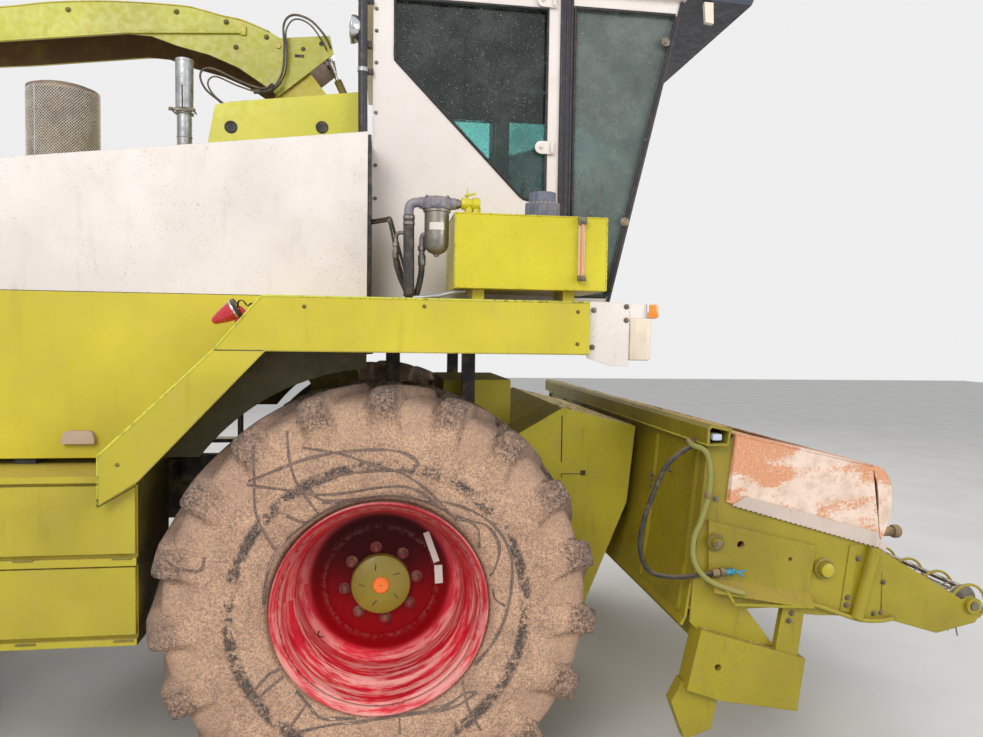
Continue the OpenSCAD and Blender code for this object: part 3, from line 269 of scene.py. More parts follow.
def paint(name, colour, shade, dust=0.3, speckle=0.3, chips=0.3, grime=0.3, gloss=0.35, dirt=DUST,
        under=None, visor=None, low=None, mud=None):
    """Old machine paint: faded, with streaks of grime, dark specks, chipped edges and dust on top.

    under is the dirt inside the spout, visor the colour ahead of the cab's front, low a darker colour
    painted below the deck as painted shade, and the last argument says where a near-black painted shadow
    goes: round the wheel's arch, or on what faces forward.
    """
    s = Shade(name)
    base = s.mix(s.cloud(1.7, 3, 0.55, 0.35, 0.7), colour, shade)
    base = s.mix(s.cloud(26, 5, 0.7, 0.45, 0.85, 0, 0.25), base, shade)
    if visor:
        base = s.mix(s.step(s.along(0), VISOR_X - 0.002, VISOR_X + 0.002), base, visor)
    # Painted shade: darker below the deck, where less light reaches
    if low:
        base = s.mix(s.step(s.along(2), DECK_Z, DECK_Z - 0.14, 0, 0.6), base, low)
    if under:
        inside = s.step(s.maths("ABSOLUTE", s.along(1)), ARM_INSIDE + 0.001, ARM_INSIDE - 0.001)
        base = s.mix(s.times(inside, s.step(s.facing(2), 0.6, 0.4), s.cloud(6, 6, 0.7, 0.2, 0.5, 0.7, 1)),
            base, under)
    # Painted shadow: near-black on the panels round the wheel's arch
    if mud == "arch":
        reach = s.maths("SUBTRACT", s.along(2), s.along(0))
        base = s.mix(s.step(reach, ARCH_SHADE, ARCH_SHADE - 0.05, 0, 0.92), base, PAINTED_SHADE)
    # Painted shadow: near-black on faces turned forward
    if mud == "front":
        base = s.mix(s.times(s.step(s.facing(0), 0.5, 0.7, 0, 0.85), s.step(s.along(0), 0.1, 0)), base, PAINTED_SHADE)
    base = s.mix(s.step(s.noise(3, 5, 0.6, (6, 6, 0.9)), 0.56, 0.8, 0, grime), base, PRIMER)
    base = s.mix(s.cloud(9, 6, 0.7, 0.42, 0.75, 0, grime), base, dirt)
    base = s.mix(s.times(s.cloud(170, 3, 0.6, 0.62, 0.7), s.cloud(5, 3, 0.55, 0.4, 0.62, 0, speckle)),
        base, SOOT)
    base = s.mix(s.times(s.edges(0.006), s.cloud(48, 4, 0.7, 0.5, 0.62, 0, chips)), base, PRIMER)
    up = s.times(s.step(s.facing(2), 0.3, 0.85), s.cloud(7, 6, 0.75, 0.25, 0.62, dust * 0.35, dust))
    s.colour(s.mix(up, base, dirt))
    s.rough(s.maths("ADD", s.cloud(30, 4, 0.55, 0.3, 0.8, gloss, gloss + 0.25), s.times(up, 0.3)))
    s.relief(s.noise(220, 3), 0.12, 0.001, 0.003)
    return s.material


def metal(name, colour, shade, metallic=0.8, rough=0.4, dust=0.25):
    s = Shade(name, Metallic=metallic)
    base = s.mix(s.cloud(14, 5, 0.7, 0.35, 0.7), colour, shade)
    film = s.maths("MAXIMUM", s.cloud(8, 6, 0.75, 0.45, 0.75, 0, dust),
        s.times(s.step(s.facing(2), 0.3, 0.9), dust))
    s.colour(s.mix(film, base, DUST))
    s.rough(s.cloud(40, 4, 0.55, 0.3, 0.8, rough, min(rough + 0.3, 1.0)))
    s.relief(s.noise(160, 3), 0.2, 0.001, 0.002)
    return s.material


def rubber(name, colour="#232324", dust=0.35, rough=0.55, dirt=DUST):
    s = Shade(name)
    film = s.maths("MAXIMUM", s.cloud(22, 6, 0.8, 0.45, 0.75, 0, dust),
        s.times(s.step(s.facing(2), 0.2, 0.95), dust))
    s.colour(s.mix(film, colour, dirt))
    s.rough(s.cloud(50, 3, 0.55, 0.3, 0.8, rough, rough + 0.25))
    s.relief(s.noise(300, 2), 0.2, 0.001)
    return s.material


def glass(name, colour, dust):
    """Tinted glass under a film of dust and specks, thicker on the cab's front pane."""
    s = Shade(name, Roughness=0.03, IOR=1.45, Transmission_Weight=1.0)
    s.colour(colour)
    dusty = s.add("ShaderNodeBsdfDiffuse")
    s.put("#a3aaa4", dusty.inputs["Color"])
    front = s.times(s.step(s.along(0), FRONT_PANE_X, FRONT_PANE_X + 0.02),
        s.cloud(3, 6, 0.7, 0.25, 0.7, 0.12, 0.34))
    film = s.maths("ADD", s.cloud(5, 6, 0.8, 0.35, 0.8, 0.02, dust), front)
    share = s.maths("MINIMUM", s.maths("MAXIMUM", film, s.cloud(150, 2, 0.6, 0.66, 0.72, 0, 0.8)), 1.0)
    blend = s.add("ShaderNodeMixShader")
    for out, socket in zip((share, s.surface.outputs[0], dusty.outputs[0]), blend.inputs):
        s.link(out, socket)
    s.link(blend.outputs[0], s.output.inputs["Surface"])
    return s.material


def wheel_place(s, centre, side):
    """Distance from a wheel's axis, angle round it and height along it, as sockets."""
    shift = s.add("ShaderNodeVectorMath", operation="SUBTRACT")
    s.link(s.place, shift.inputs[0])
    shift.inputs[1].default_value = centre
    x, y, z = s.split(shift.outputs[0])
    radius = s.maths("SQRT", s.maths("ADD", s.times(x, x), s.times(z, z)))
    return radius, s.maths("ARCTAN2", z, x), s.times(y, float(side))


def tyre_finish(name, centre, side, scale, lugs=0):
    """Rubber under dried tan dust: dark on the lugs' noses, paler in the hollows, with a rubbed ring."""
    s = Shade(name)
    radius, angle, _ = wheel_place(s, centre, side)
    tan = s.mix(s.cloud(6, 6, 0.75, 0.3, 0.7), "#d8ae8e", "#ab8871")
    tan = s.mix(s.cloud(60, 5, 0.8, 0.4, 0.75, 0, 0.6), tan, "#ecc7a5")
    tan = s.mix(s.cloud(125, 6, 0.9, 0.47, 0.56, 0, 0.68), tan, "#5e4c42")
    tread = s.step(radius, 0.76 * scale, 0.9 * scale)
    base = s.mix(s.times(tread, s.cloud(9, 5, 0.7, 0.3, 0.65, 0.25, 0.9)), tan, "#7c6b62")
    if lugs:
        turn = s.maths("FRACT", s.maths("ADD", s.times(angle, lugs / CIRCLE), lugs - LUG_PHASE))
        away = s.maths("MINIMUM", turn, s.maths("SUBTRACT", 1.0, turn))
        face = s.times(s.step(radius, 0.745, 0.79), s.cloud(5, 3, 0.55, 0.3, 0.5, 0.55, 1))
        nose = s.times(s.step(away, 0.26, 0.17), face, s.cloud(75, 6, 0.9, 0.44, 0.56))
        base = s.mix(s.times(nose, 0.8), base, "#332f2e")
        band = s.times(s.step(radius, 0.65, 0.72), s.step(radius, 0.86, 0.8))
        hollow = s.times(s.step(away, 0.22, 0.34), band, s.cloud(11, 5, 0.7, 0.3, 0.7, 0.1, 0.5))
        base = s.mix(hollow, base, "#b8977e")
    ring = s.times(s.step(radius, 0.556 * scale, 0.572 * scale),
        s.step(radius, 0.618 * scale, 0.598 * scale), s.cloud(11, 5, 0.85, 0.43, 0.53),
        s.cloud(110, 5, 0.9, 0.4, 0.5, 0.25, 0.95))
    rubbed = s.times(s.edges(0.02), s.cloud(38, 5, 0.8, 0.42, 0.6, 0, 0.85),
        s.step(radius, 0.6 * scale, 0.75 * scale))
    scuffs = s.times(s.cloud(33, 6, 0.85, 0.6, 0.7), s.step(radius, 0.5 * scale, 0.85 * scale, 0.1, 0.8))
    dark = s.maths("MAXIMUM", s.maths("MAXIMUM", ring, rubbed), scuffs)
    s.colour(s.mix(dark, base, "#2c2a2b"))
    s.rough(s.step(dark, 0, 1, 0.95, 0.6))
    s.relief(s.noise(140, 6, 0.8), 0.7, 0.004)
    return s.material


def rim_finish(name, centre, side, seat):
    """Red paint with dust dried on in rings and runs, thickest towards the bottom of the barrel, under
    painted
    shade: darker towards the top, and far darker on the disc inside.
    """
    s = Shade(name)
    radius, angle, depth = wheel_place(s, centre, side)
    red = s.mix(s.cloud(3, 4, 0.55, 0.35, 0.7), "#dc1630", "#b81228")
    # Painted shade: the red darkens towards the top, and the disc inside the seat is far darker and
    # reflects less
    upper = s.step(s.maths("SINE", angle), -0.6, 0.9)
    red = s.mix(s.times(upper, 0.45), red, "#7c1018")
    red = s.mix(s.step(radius, seat * 0.8, seat * 0.72), red, s.mix(upper, "#86040c", "#3c0206"))
    s.put(s.step(radius, seat * 0.72, seat * 0.84, 0.1, 0.5), s.surface.inputs["Specular IOR Level"])
    stretched = s.add("ShaderNodeCombineXYZ")
    for value, scale, socket in zip((angle, depth, radius), (1.6, 34.0, 26.0), stretched.inputs):
        s.put(s.times(value, scale), socket)
    bands = s.step(s.noise(1.0, 6, 0.7, place=stretched.outputs[0]), 0.44, 0.6)
    barrel = s.step(radius, seat * 0.74, seat * 0.86)
    dust = s.times(bands, s.step(s.maths("SINE", angle), 0.9, -0.7, 0.12, 1), barrel)
    film = s.times(s.cloud(40, 6, 0.8, 0.45, 0.8, 0, 0.35), barrel)
    base = s.mix(film, s.mix(s.times(dust, 0.8), red, "#f0b0a4"), "#9c4a42")
    worn = s.times(s.edges(0.006), s.cloud(50, 4, 0.8, 0.4, 0.6, 0, 0.6))
    s.colour(s.mix(worn, base, "#d9a79a"))
    s.rough(s.step(s.maths("MAXIMUM", dust, film), 0, 1, 0.3, 0.85))
    s.relief(s.noise(160, 4), 0.15, 0.001, 0.003)
    return s.material


def rusty_cover(name):
    """Off-white paint with a large bloom of salmon rust, rubbed through to the bottom edge."""
    s = Shade(name)
    patches = s.maths("ADD", s.noise(3.4, 5, 0.65, (0.7, 1.0, 1.2)), s.times(s.noise(85, 5, 0.85), 0.34))
    rust = s.mix(s.cloud(120, 5, 0.85, 0.4, 0.62), "#e0a27c", "#bf8460")
    white = s.mix(s.cloud(14, 6, 0.75, 0.4, 0.7), "#e6cfbd", "#cdb19c")
    base = s.mix(s.step(patches, 0.615, 0.665), white, rust)
    s.colour(s.mix(s.cloud(190, 3, 0.7, 0.62, 0.7, 0, 0.5), base, PRIMER))
    s.rough(0.8)
    s.relief(s.noise(120, 5, 0.8), 0.3, 0.001, 0.002)
    return s.material


def chalk(name):
    """Soft charcoal strokes that the dust breaks up."""
    s = Shade(name, Roughness=0.9)
    stroke = s.mix(s.cloud(9, 4, 0.55, 0.35, 0.65), "#3f3a3c", "#5e5350")
    s.colour(s.mix(s.cloud(170, 5, 0.85, 0.42, 0.6), stroke, "#9a7d69"))
    return s.material


def lens(name, colour, rough=0.15):
    s = Shade(name, Roughness=rough, Coat_Weight=0.6)
    s.colour(s.mix(s.cloud(35, 5, 0.8, 0.5, 0.8, 0, 0.4), colour, DUST))
    s.relief(s.noise(500, 1), 0.2, 0.0006)
    return s.material


# Finishes by their maker. Each line has the name, the slot of what wears it, colours and shares: for paint
# dust, speckle, chips, grime and gloss, for metal the metallic share, roughness and dust, for rubber dust
# and roughness. The darker green of the toolbox doors is painted shade, and the lighter green of the thin
# edges a painted highlight
TABLES = (
    (paint, """
green_paint green_paint #cdbe2e #baab27 .35 .35 .6 .16 low=#a39526 mud=front
green_panel green_paint #cfc02b #c0b128 .25 .2 .45 .1
green_side green_paint #cfc02b #c0b128 .25 .2 .45 .1 mud=arch
green_top green_paint #c9c32d #bbb628 .35 .35 .9 .08 .25
green_tank green_paint #d6cb28 #c8bb22 .35 .35 .9 .08 .25
green_header green_paint #9f9117 #867812 .5 1 .9 .42 .45 #9a7f3a
green_guard green_paint #cabb2a #b4a623 .6 .8 .9 .3 .45 #a8905a
green_box_doors green_paint #b4a528 #9f9124 .4 .3 .5 .16
green_spout green_paint #c2c240 #aeab3a .35 .35 .6 .2 under=#6e5642
green_under green_paint #857a26 #5f581f .9 .8 .8 .7 .6 #a8905a
green_edge green_paint #d6d64a #c3c436 .2 .6 .9 .25 .3
green_hub green_paint #8d8022 #7a6e1e .2 .4 .3 .15 .3
roof_white green_paint #e8dfd8 #dfd5cf .3 .3 .3 .07 visor=#363b4a
white_paint green_paint #e6ddd6 #d9cfc8 .3 .55 .4 .13 .4
white_cab white_paint #e8dfd8 #dfd5cf .3 .3 .3 .07
cream_lamp white_paint #e9dcc8 #d9cab4 .3 .6 .4 .2
bare_label white_paint #e9e4dc #d8d2c8 .2 .3 .2 .2
red_auger green_paint #8d3a30 #6b4638 .8 .5 .9 .7 .5 #a8905a
stud_red red_paint #7c1420 #5f141b .5 .5 .9 .35
dark_paint dark_paint #2b2b2c #1e1e20 .6 .2 .6 .45
panel_handle black_plastic #cdb9a4 #b7a18c .5 .2 .2 .3 .5
cover_strip grey_steel #cfbfb2 #bcaaa0 .3 .6 .5 .25
screen_back green_paint #6b605a #574d48 .4 .5 .3 .4 .6
screen_band dark_paint #8a7a6e #6c5d52 .6 .5 .4 .6 .5
"""),
    (metal, """
worn_steel grey_steel #8f8c88 #6d6a66 .9 .35
galvanised grey_steel #b4b6b8 #94969a .75 .38 .12
chrome rod_steel #d9dadc #c2c4c6 1 .1 .05
cast_grey filter_alloy #8d8a93 #77747c .35 .5 .3
cap_grey black_plastic #6c7182 #5b6070 .1 .5 .3
bolt grey_steel #857d70 #5f574c .8 .45 .5
filter_steel filter_alloy #8f8b80 #75716a .7 .32 .2
rusty_steel grey_steel #8f7a5f #6e5a45 .4 .6 .5
screen_wire dark_paint #f2ebe4 #d2c8be .3 .5 .3
"""),
    (rubber, """
black_rubber black_plastic
hose black_plastic #262626 .3
hose_pale black_plastic #8a8a45 .7 .7 #a8905a
suction_hose_rubber black_plastic #2b2b2d .25 .5
braided_line black_plastic #3a3634 .4 .6
cable_sheath black_plastic #55504b .5 .6
seat_cloth black_plastic #1f1f22 .15 .8
seat_piping black_plastic #35353a .1 .6
cab_lining black_plastic #17181a .1 .8
window_seal black_plastic #1c1d20 .12 .45
pillar_black dark_paint #2b2830 .12 .4
pale_blue grey_steel #b9c4d6 .3 .5
blue_tape red_lens #3f93ad .7 .5 #5b6350
straw green_paint #c2a468 .4 .8 #8f7a4a
"""),
    (glass, """
side_glass green_paint #6f9a96 .16
lamp_glass tinted_glass #e9ecea .3
"""),
    (lens, """
orange_lens red_lens #f08a1c
red_lens red_lens #c01028
gauge_tube tinted_glass #d98a5c .2
orange_plug red_lens #f2741e .4
"""),
    (chalk, "black_marks black_plastic"),
    (rusty_cover, "rusty_white white_paint"),
)
LOOKS, SLOTS = {}, {}
for maker, table in TABLES:
    for line in table.strip().splitlines():
        look, slot_name, *values = line.split()
        shares = [v if v[0] == "#" else float(v) for v in values if "=" not in v]
        LOOKS[look] = maker(look, *shares, **dict(v.split("=") for v in values if "=" in v))
        SLOTS[look] = slot_name

NODE_FINISH = (
    ("dark_paint", "chassis_frame tow_hitch ladder_left rear_axle knuckle_right knuckle_left tie_rod"),
    ("green_under", "front_axle cutter_housing spout_barrel lift_barrels"),
    ("cast_grey", "engine_block"),
    ("green_panel", "rear_body"),
    ("green_paint", "rear_screen_door toolbox battery_box fender_right platform_left turret spout_flap"),
    ("green_top", "hood_top"),
    ("white_paint", "upper_side_panels front_lamps"),
    ("green_side", "lower_side_panels"),
    # Toolbox doors in a darker copy of the green: painted shade
    ("green_box_doors", "toolbox_door_upper toolbox_door_lower"),
    ("red_lens", "marker_lamps"),
    ("green_tank", "hydraulic_tank"),
    ("white_cab", "cab_shell cab_door"),
    ("roof_white", "cab_roof"),
    ("side_glass", "cab_glass door_glass"),
    ("cab_lining", "steering_column"),
    ("galvanised", "exhaust_pipe"),
    ("screen_back", "air_screen"),
    ("green_spout", "spout_arm"),
    ("chrome", "spout_rod lift_rods"),
    ("green_guard", "feeder_housing"),
    ("green_header", "header_frame header_sides pickup_hoops"),
    ("rusty_white", "header_covers"),
    ("red_auger", "header_auger"),
    ("worn_steel", "pickup_reel"),
)


def finish_node(name, material):
    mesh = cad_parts[name].data
    mesh.materials.clear()
    mesh.materials.append(LOOKS.get(material, material))


# Shapes


def as_piece(name, mesh, work, material, body, slot, smooth):
    """The mesh from work with its faces outwards, as a piece that rides its body."""
    bmesh.ops.recalc_face_normals(work, faces=work.faces)
    work.to_mesh(mesh)
    work.free()
    mesh.materials.append(LOOKS.get(material, material))
    for face in mesh.polygons:
        face.use_smooth = smooth
    piece = bpy.data.objects.new(name, mesh)
    bpy.context.scene.collection.objects.link(piece)
    slot = slot or SLOTS[material]
    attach(piece, body)
    return piece


def new_mesh(name, verts, faces, material, body="machine", slot=None, smooth=True):
    mesh = bpy.data.meshes.new(name)
    mesh.from_pydata([tuple(v) for v in verts], [], faces)
    work = bmesh.new()
    work.from_mesh(mesh)
    return as_piece(name, mesh, work, material, body, slot, smooth)


def from_bmesh(name, work, material, body="machine", bevel=0.0, angle=35, slot=None):
    if bevel:
        sharp = [e for e in work.edges
            if len(e.link_faces) == 2 and e.calc_face_angle(0) > math.radians(angle)]
        bmesh.ops.bevel(work, geom=sharp, offset=bevel, segments=2, affect="EDGES", profile=0.6,
            clamp_overlap=True)
    mesh = bpy.data.meshes.new(name)
    piece = as_piece(name, mesh, work, material, body, slot, bool(bevel))
    if bevel:
        mesh.set_sharp_from_angle(angle=math.radians(50))
    return piece


def add_block(work, low, high, turn=None):
    """A box between two corners; turn is a matrix about its middle."""
    low, high = placed(low), placed(high)
    size = Matrix.Diagonal((*[abs(v) for v in high - low], 1))
    move = Matrix.Translation((low + high) / 2) @ (turn or Matrix.Identity(4)) @ size
    bmesh.ops.create_cube(work, size=1.0, matrix=move)


def add_bar(work, start, end, radius, sides=16, far_radius=None):
    """A round bar or cone between two points."""
    start, end = placed(start), placed(end)
    way = end - start
    move = Matrix.Translation((start + end) / 2) @ way.to_track_quat("Z", "Y").to_matrix().to_4x4()
    far_radius = radius if far_radius is None else far_radius
    bmesh.ops.create_cone(work, cap_ends=True, segments=sides, radius1=radius, radius2=far_radius,
        depth=way.length, matrix=move)


def add_bolt(work, place, way, size):
    """A hexagon head on a washer, its head towards way."""
    place, way = placed(place), Vector(way).normalized()
    add_bar(work, place - way * 0.002, place + way * size * 0.22, size * 1.45, 20)
    add_bar(work, place, place + way * size * 0.95, size, 6)
    add_bar(work, place, place + way * size * 1.25, size * 0.55, 12)


def blocks(name, boxes, material, body="machine", bevel=0.002, slot=None):
    """Boxes between pairs of corners, as one piece."""
    work = bmesh.new()
    for box in boxes:
        add_block(work, *mm(box))
    return from_bmesh(name, work, material, body, bevel, slot=slot)


def bolts(name, places, way, size, material="bolt", body="machine", slot="grey_steel"):
    work = bmesh.new()
    for place in mm(places):
        add_bolt(work, place, way, size)
    return from_bmesh(name, work, material, body, slot=slot)


def curve_points(points, steps=8):
    """Points along a smooth curve through the given points."""
    points = [Vector(p) for p in points]
    result = []
    for i, (b, c) in enumerate(zip(points, points[1:])):
        a = points[i - 1] if i else b * 2 - c
        d = points[i + 2] if i + 2 < len(points) else c * 2 - b
        for k in range(steps):
            t = k / steps
            square, cube = (2 * a - 5 * b + 4 * c - d) * t * t, (3 * b - a - 3 * c + d) * t ** 3
            result.append(0.5 * (2 * b + (c - a) * t + square + cube))
    return result + [points[-1]]


def sweep(name, points, radius, material, body="machine", sides=10, steps=8, closed=False, slot=None):
    """A tube along a smooth curve, or along the points as they are with steps=0."""
    path = [placed(p) for p in mm(points)]
    if steps:
        path = curve_points(path, steps)
    count = len(path)
    verts, faces = [], []
    normal = None
    for i, p in enumerate(path):
        if closed:
            way = path[(i + 1) % count] - path[i - 1]
        else:
            way = path[min(i + 1, count - 1)] - path[max(i - 1, 0)]
        way.normalize()
        if normal is None:
            normal = way.orthogonal().normalized()
        normal = (normal - way * normal.dot(way)).normalized()
        across = way.cross(normal)
        r = radius(i / max(count - 1, 1)) if callable(radius) else radius
        for k in range(sides):
            a = CIRCLE * k / sides
            verts.append(p + normal * math.cos(a) * r + across * math.sin(a) * r)
    faces = grid_faces(count if closed else count - 1, sides, count)
    if not closed:
        faces.append(tuple(range(sides - 1, -1, -1)))
        faces.append(tuple((count - 1) * sides + k for k in range(sides)))
    return new_mesh(name, verts, faces, material, body, slot)


def grid_faces(rows, columns, count):
    """Quads from so many of count rows of points to the next row; each row closes on itself."""
    faces = []
    for i in range(rows):
        m = (i + 1) % count
        for k in range(columns):
            n = (k + 1) % columns
            faces.append((i * columns + k, i * columns + n, m * columns + n, m * columns + k))
    return faces


def turned(name, origin, axis, line, material, body="machine", turns=48, ribs=0, depth=0.0, slot=None):
    """A shape turned about an axis, ribbed if asked. line holds radius and distance along, and closes."""
    origin, axis, line = placed(origin), Vector(axis).normalized(), mm(line)
    across = axis.orthogonal().normalized()
    other = axis.cross(across)
    verts = []
    for j in range(turns):
        a = CIRCLE * j / turns
        way = across * math.cos(a) + other * math.sin(a)
        swell = 1 - depth * smooth_step(0.35, 0.65, 0.5 + 0.5 * math.cos(ribs * a)) if ribs else 1.0
        verts += [origin + way * r * swell + axis * along for r, along in line]
    piece = new_mesh(name, verts, grid_faces(turns, len(line), turns), material, body, slot)
    piece.data.set_sharp_from_angle(angle=math.radians(38))
    return piece


def plate(work, outline, y0, y1):
    """A flat plate: its outline in X and Z from the axle, extruded from y0 to y1."""
    low, high = [[work.verts.new(at(x, y, z)) for x, z in mm(outline)] for y in (y0, y1)]
    work.faces.new(low)
    work.faces.new(list(reversed(high)))
    for i, near in enumerate(low):
        k = (i + 1) % len(low)
        work.faces.new((near, high[i], high[k], low[k]))


def smooth_step(low, high, x):
    t = min(max((x - low) / (high - low), 0.0), 1.0)
    return t * t * (3 - 2 * t)


# Tyres and rims

LUGS = 19
SEAT_R = 0.406
# Front tyre's surface from the crown to the bead, between the lugs and on a lug, as distance from the
# middle and radius
BEAD = mm("310,640 303,560 288,490 262,448 240,432 228,412")
CARCASS = mm("0,862 90,862 167,858 228,850 255,842 269,826 278,800 285,768 296,732 309,690") + BEAD
LUG_LINE = mm("0,897 90,899 167,899 228,898 276,895 296,888 307,862 313,815 316,762 313,702") + BEAD
# Way along the surface from the crown, angle swept by a lug in degrees, half its top and half its foot in
# pitches
LUG_TABLE = pairs("0,12,.17,.27 .05,11,.12,.195 .17,4,.14,.225 .29,0,.17,.25 .36,.5,.15,.25 .42,1.5,.17,.3"
                  " .47,2.5,.25,.37 .53,3,.34,.45")
# Raised rings on the sidewall: height, radius and width
RIDGES = ((0.004, 0.585, 0.009), (0.0025, 0.475, 0.006))
# Columns over one pitch, closer at the lug's edges
LUG_COLUMNS = [-0.5, -0.43, -0.36, -0.3, -0.28, -0.25, -0.22, -0.2, -0.14, -0.07, 0.0, 0.07, 0.14, 0.2,
    0.22, 0.25, 0.28, 0.3, 0.36, 0.43]
# Columns up to the first share are on the lug's top, and up to the second on its flank
TOP_END, FOOT_END = 0.2, 0.3


def table_at(table, x):
    for low, high in zip(table, table[1:]):
        if x <= high[0]:
            t = (x - low[0]) / (high[0] - low[0])
            return [a + (b - a) * t for a, b in zip(low[1:], high[1:])]
    return table[-1][1:]


def tyre_rows():
    """Matching points of both profiles from the crown to the bead, with the way along the surface."""
    low = curve_points([(y, r, 0) for y, r in CARCASS], 10)
    high = curve_points([(y, r, 0) for y, r in LUG_LINE], 10)
    rows, way, gone = [], 0.0, 1.0
    for i, (a, b) in enumerate(zip(low, high)):
        if i:
            way += (a - low[i - 1]).length
            gone += max((a - low[i - 1]).length, (b - high[i - 1]).length)
        if gone > 0.0095 or i == len(low) - 1:
            rows.append((way, a.x, a.y, b.x, b.y))
            gone = 0.0
    return rows


def lug_column(u, top, foot):
    """Place of a column over a pitch where the lug's top and foot end, and the height there."""
    share = abs(u)
    height = 1 - smooth_step(0.195, 0.305, share)
    if share <= TOP_END:
        place = share / TOP_END * top
    elif share <= FOOT_END:
        place = top + (share - TOP_END) / 0.10 * (foot - top)
    else:
        place = foot + (share - FOOT_END) / 0.20 * (0.5 - foot)
    return math.copysign(place, u), height


def front_tyre(side, tag):
    name, node, body = f"tyre_front_{tag}_lugged", "tyre_front_" + tag, "front_wheel_" + tag
    centre = middle(node)
    pitch = CIRCLE / LUGS
    count = len(LUG_COLUMNS)
    rows = tyre_rows()
    verts = []
    rings = [(row, 1) for row in reversed(rows)] + [(row, -1) for row in rows[1:]]
    for (way, y0, r0, y1, r1), half in rings:
        swept, top, foot = table_at(LUG_TABLE, way)
        inner = half < 0
        for j in range(LUGS * count):
            k = j + (count // 2 if inner else 0)
            place, height = lug_column(LUG_COLUMNS[k % count], top, foot)
            a = pitch * (k // count + place + LUG_PHASE - (0.5 if inner else 0)) - math.radians(swept)
            wear = noise.noise(Vector((math.cos(a) * 9, math.sin(a) * 9, y0 * 9 + half * 3 + side * 20)))
            fine = noise.noise(Vector((math.cos(a) * 45, math.sin(a) * 45, y0 * 45)))
            height *= (1 - 0.06 * (1 + wear)) * smooth_step(0.0, 0.012, way)
            y = y0 + (y1 - y0) * height
            r = r0 + (r1 - r0) * height
            for rise, ridge_r, wide in RIDGES:
                y += rise * math.exp(-((r - ridge_r) / wide) ** 2)
            y += 0.003 * wear * smooth_step(0.2, 0.3, y0)
            r += (0.0024 * wear + 0.001 * fine) * smooth_step(0.5, 0.8, r)
            verts.append(centre + Vector((r * math.cos(a), side * half * y, r * math.sin(a))))
    finish = tyre_finish(name + "_rubber", centre, side, 1.0, LUGS)
    tyre = new_mesh(name, verts, grid_faces(len(rings), LUGS * count, len(rings)), finish, body,
        "tyre_rubber")
    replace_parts(tyre, node)
    return tyre


def rear_tyre(side, tag):
    name, node = f"tyre_rear_{tag}_ribbed", "tyre_rear_" + tag
    centre = middle(node)
    r, w, bead = 0.56, 0.33, 0.2293
    half = [(bead, w * 0.34), (bead + 0.025, w * 0.4), (r - 0.19, w * 0.49), (r - 0.12, w * 0.5),
        (r - 0.05, w * 0.47), (r - 0.018, w * 0.42), (r - 0.004, w * 0.37), (r, w * 0.33)]
    for outer, inner in ((0.21, 0.185), (0.08, 0.055)):
        groove = r - 0.012
        half += [(r, w * outer), (groove, w * (outer - 0.008)), (groove, w * (inner + 0.008)),
            (r, w * inner)]
    line = half + [(a, -b) for a, b in reversed(half)]
    finish = tyre_finish(name + "_rubber", centre, side, r / 0.9)
    tyre = turned(name, centre, (0, side, 0), line, finish, "rear_wheel_" + tag, 192, slot="tyre_rubber")
    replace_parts(tyre, node)


DISC_Y = -0.062
STUDS = 8


def front_rim(side, tag):
    """Deep rim: rolled lip, stepped barrel, dished disc, wheel studs, hub disc and its plug."""
    name, body = "rim_" + tag, "front_wheel_" + tag
    centre = middle("tyre_front_" + tag)
    way = Vector((0, side, 0))
    # Both faces of the barrel, as radius over the seat and distance outwards
    outer = mm("24,285.2 30,282 30.5,276.5 26,270.5 8,265 -3,256 -4,165 -12,150 -30,135 -36,118 -40,108"
        " -40,-70 -10,-110 -3,-124 -3,-256 28,-272 28,-285")
    inner = [(r - 0.011, y) for r, y in reversed(outer[6:])] + mm("-12,246 -2,257 12,271.5 18,279")
    finish = rim_finish(name + "_red", centre, side, SEAT_R)
    barrel = turned(name, centre, way, [(SEAT_R + r, y) for r, y in outer + inner], finish, body, 160,
        slot="red_paint")
    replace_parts(barrel, "rim_front_" + tag)
    disc_r = SEAT_R - 0.046
    disc = [(disc_r, 0.022), (disc_r - 0.014, 0.006), (disc_r - 0.03, 0), (0.245, -0.002), (0.236, 0.004),
            (0.226, 0.005), (0.13, 0.005), (0.13, -0.006), (disc_r, -0.005)]
    disc = [(r, DISC_Y + y) for r, y in disc]
    turned(name + "_disc", centre, way, disc, finish, body, 128, slot="red_paint")
    work = bmesh.new()
    for k in range(STUDS):
        p = centre + around(0.16, 8 + 360 / STUDS * k, side * (DISC_Y + 0.004))
        for length, radius, sides in ((0.006, 0.026, 24), (0.026, 0.0165, 6), (0.04, 0.009, 12)):
            add_bar(work, p, p + way * length, radius, sides)
    from_bmesh(name + "_nuts", work, "stud_red", body, 0.0012)
    hub = mm("4,-11.5 34,-11.5 36,-14 122,-18 129,-24") + [(0.13, DISC_Y), (0.004, DISC_Y)]
    turned(name + "_hub", centre, way, hub, "green_hub", body, 96)
    turned(name + "_plug", centre, way, "3,-5 30,-5 36,-10 37,-18 3,-18", "orange_plug", body)
    # The hub's five slots as black strips: painted shade in the openings
    work = bmesh.new()
    for k in range(5):
        degrees = 35 + 72 * k
        p = centre + around(0.082, degrees, side * -0.0158)
        half = Vector((0.014, 0.0016, 0.0022))
        add_block(work, p - half, p + half, Matrix.Rotation(-math.radians(degrees) + 0.35, 4, "Y"))
    from_bmesh(name + "_slots", work, "black_rubber", body)
    stem = centre + around(0.335, 217)
    valve = [stem + Vector((x, side * y, z)) for x, y, z in mm("0,-30,0 2,20,1 28,85,20")]
    sweep(name + "_valve", valve, 0.0045, "bolt", body, 8)
    if side == RIGHT:
        work = bmesh.new()
        for x, z, wide, tall, lean in ((0.223, 0.151, 0.028, 0.145, -20), (0.257, 0.027, 0.036, 0.084, -3)):
            p = centre + Vector((x, side * (DISC_Y + 0.0035), z))
            half = Vector((wide / 2, 0.001, tall / 2))
            add_block(work, p - half, p + half, Matrix.Rotation(math.radians(lean), 4, "Y"))
        from_bmesh("rim_labels", work, "bare_label", body)


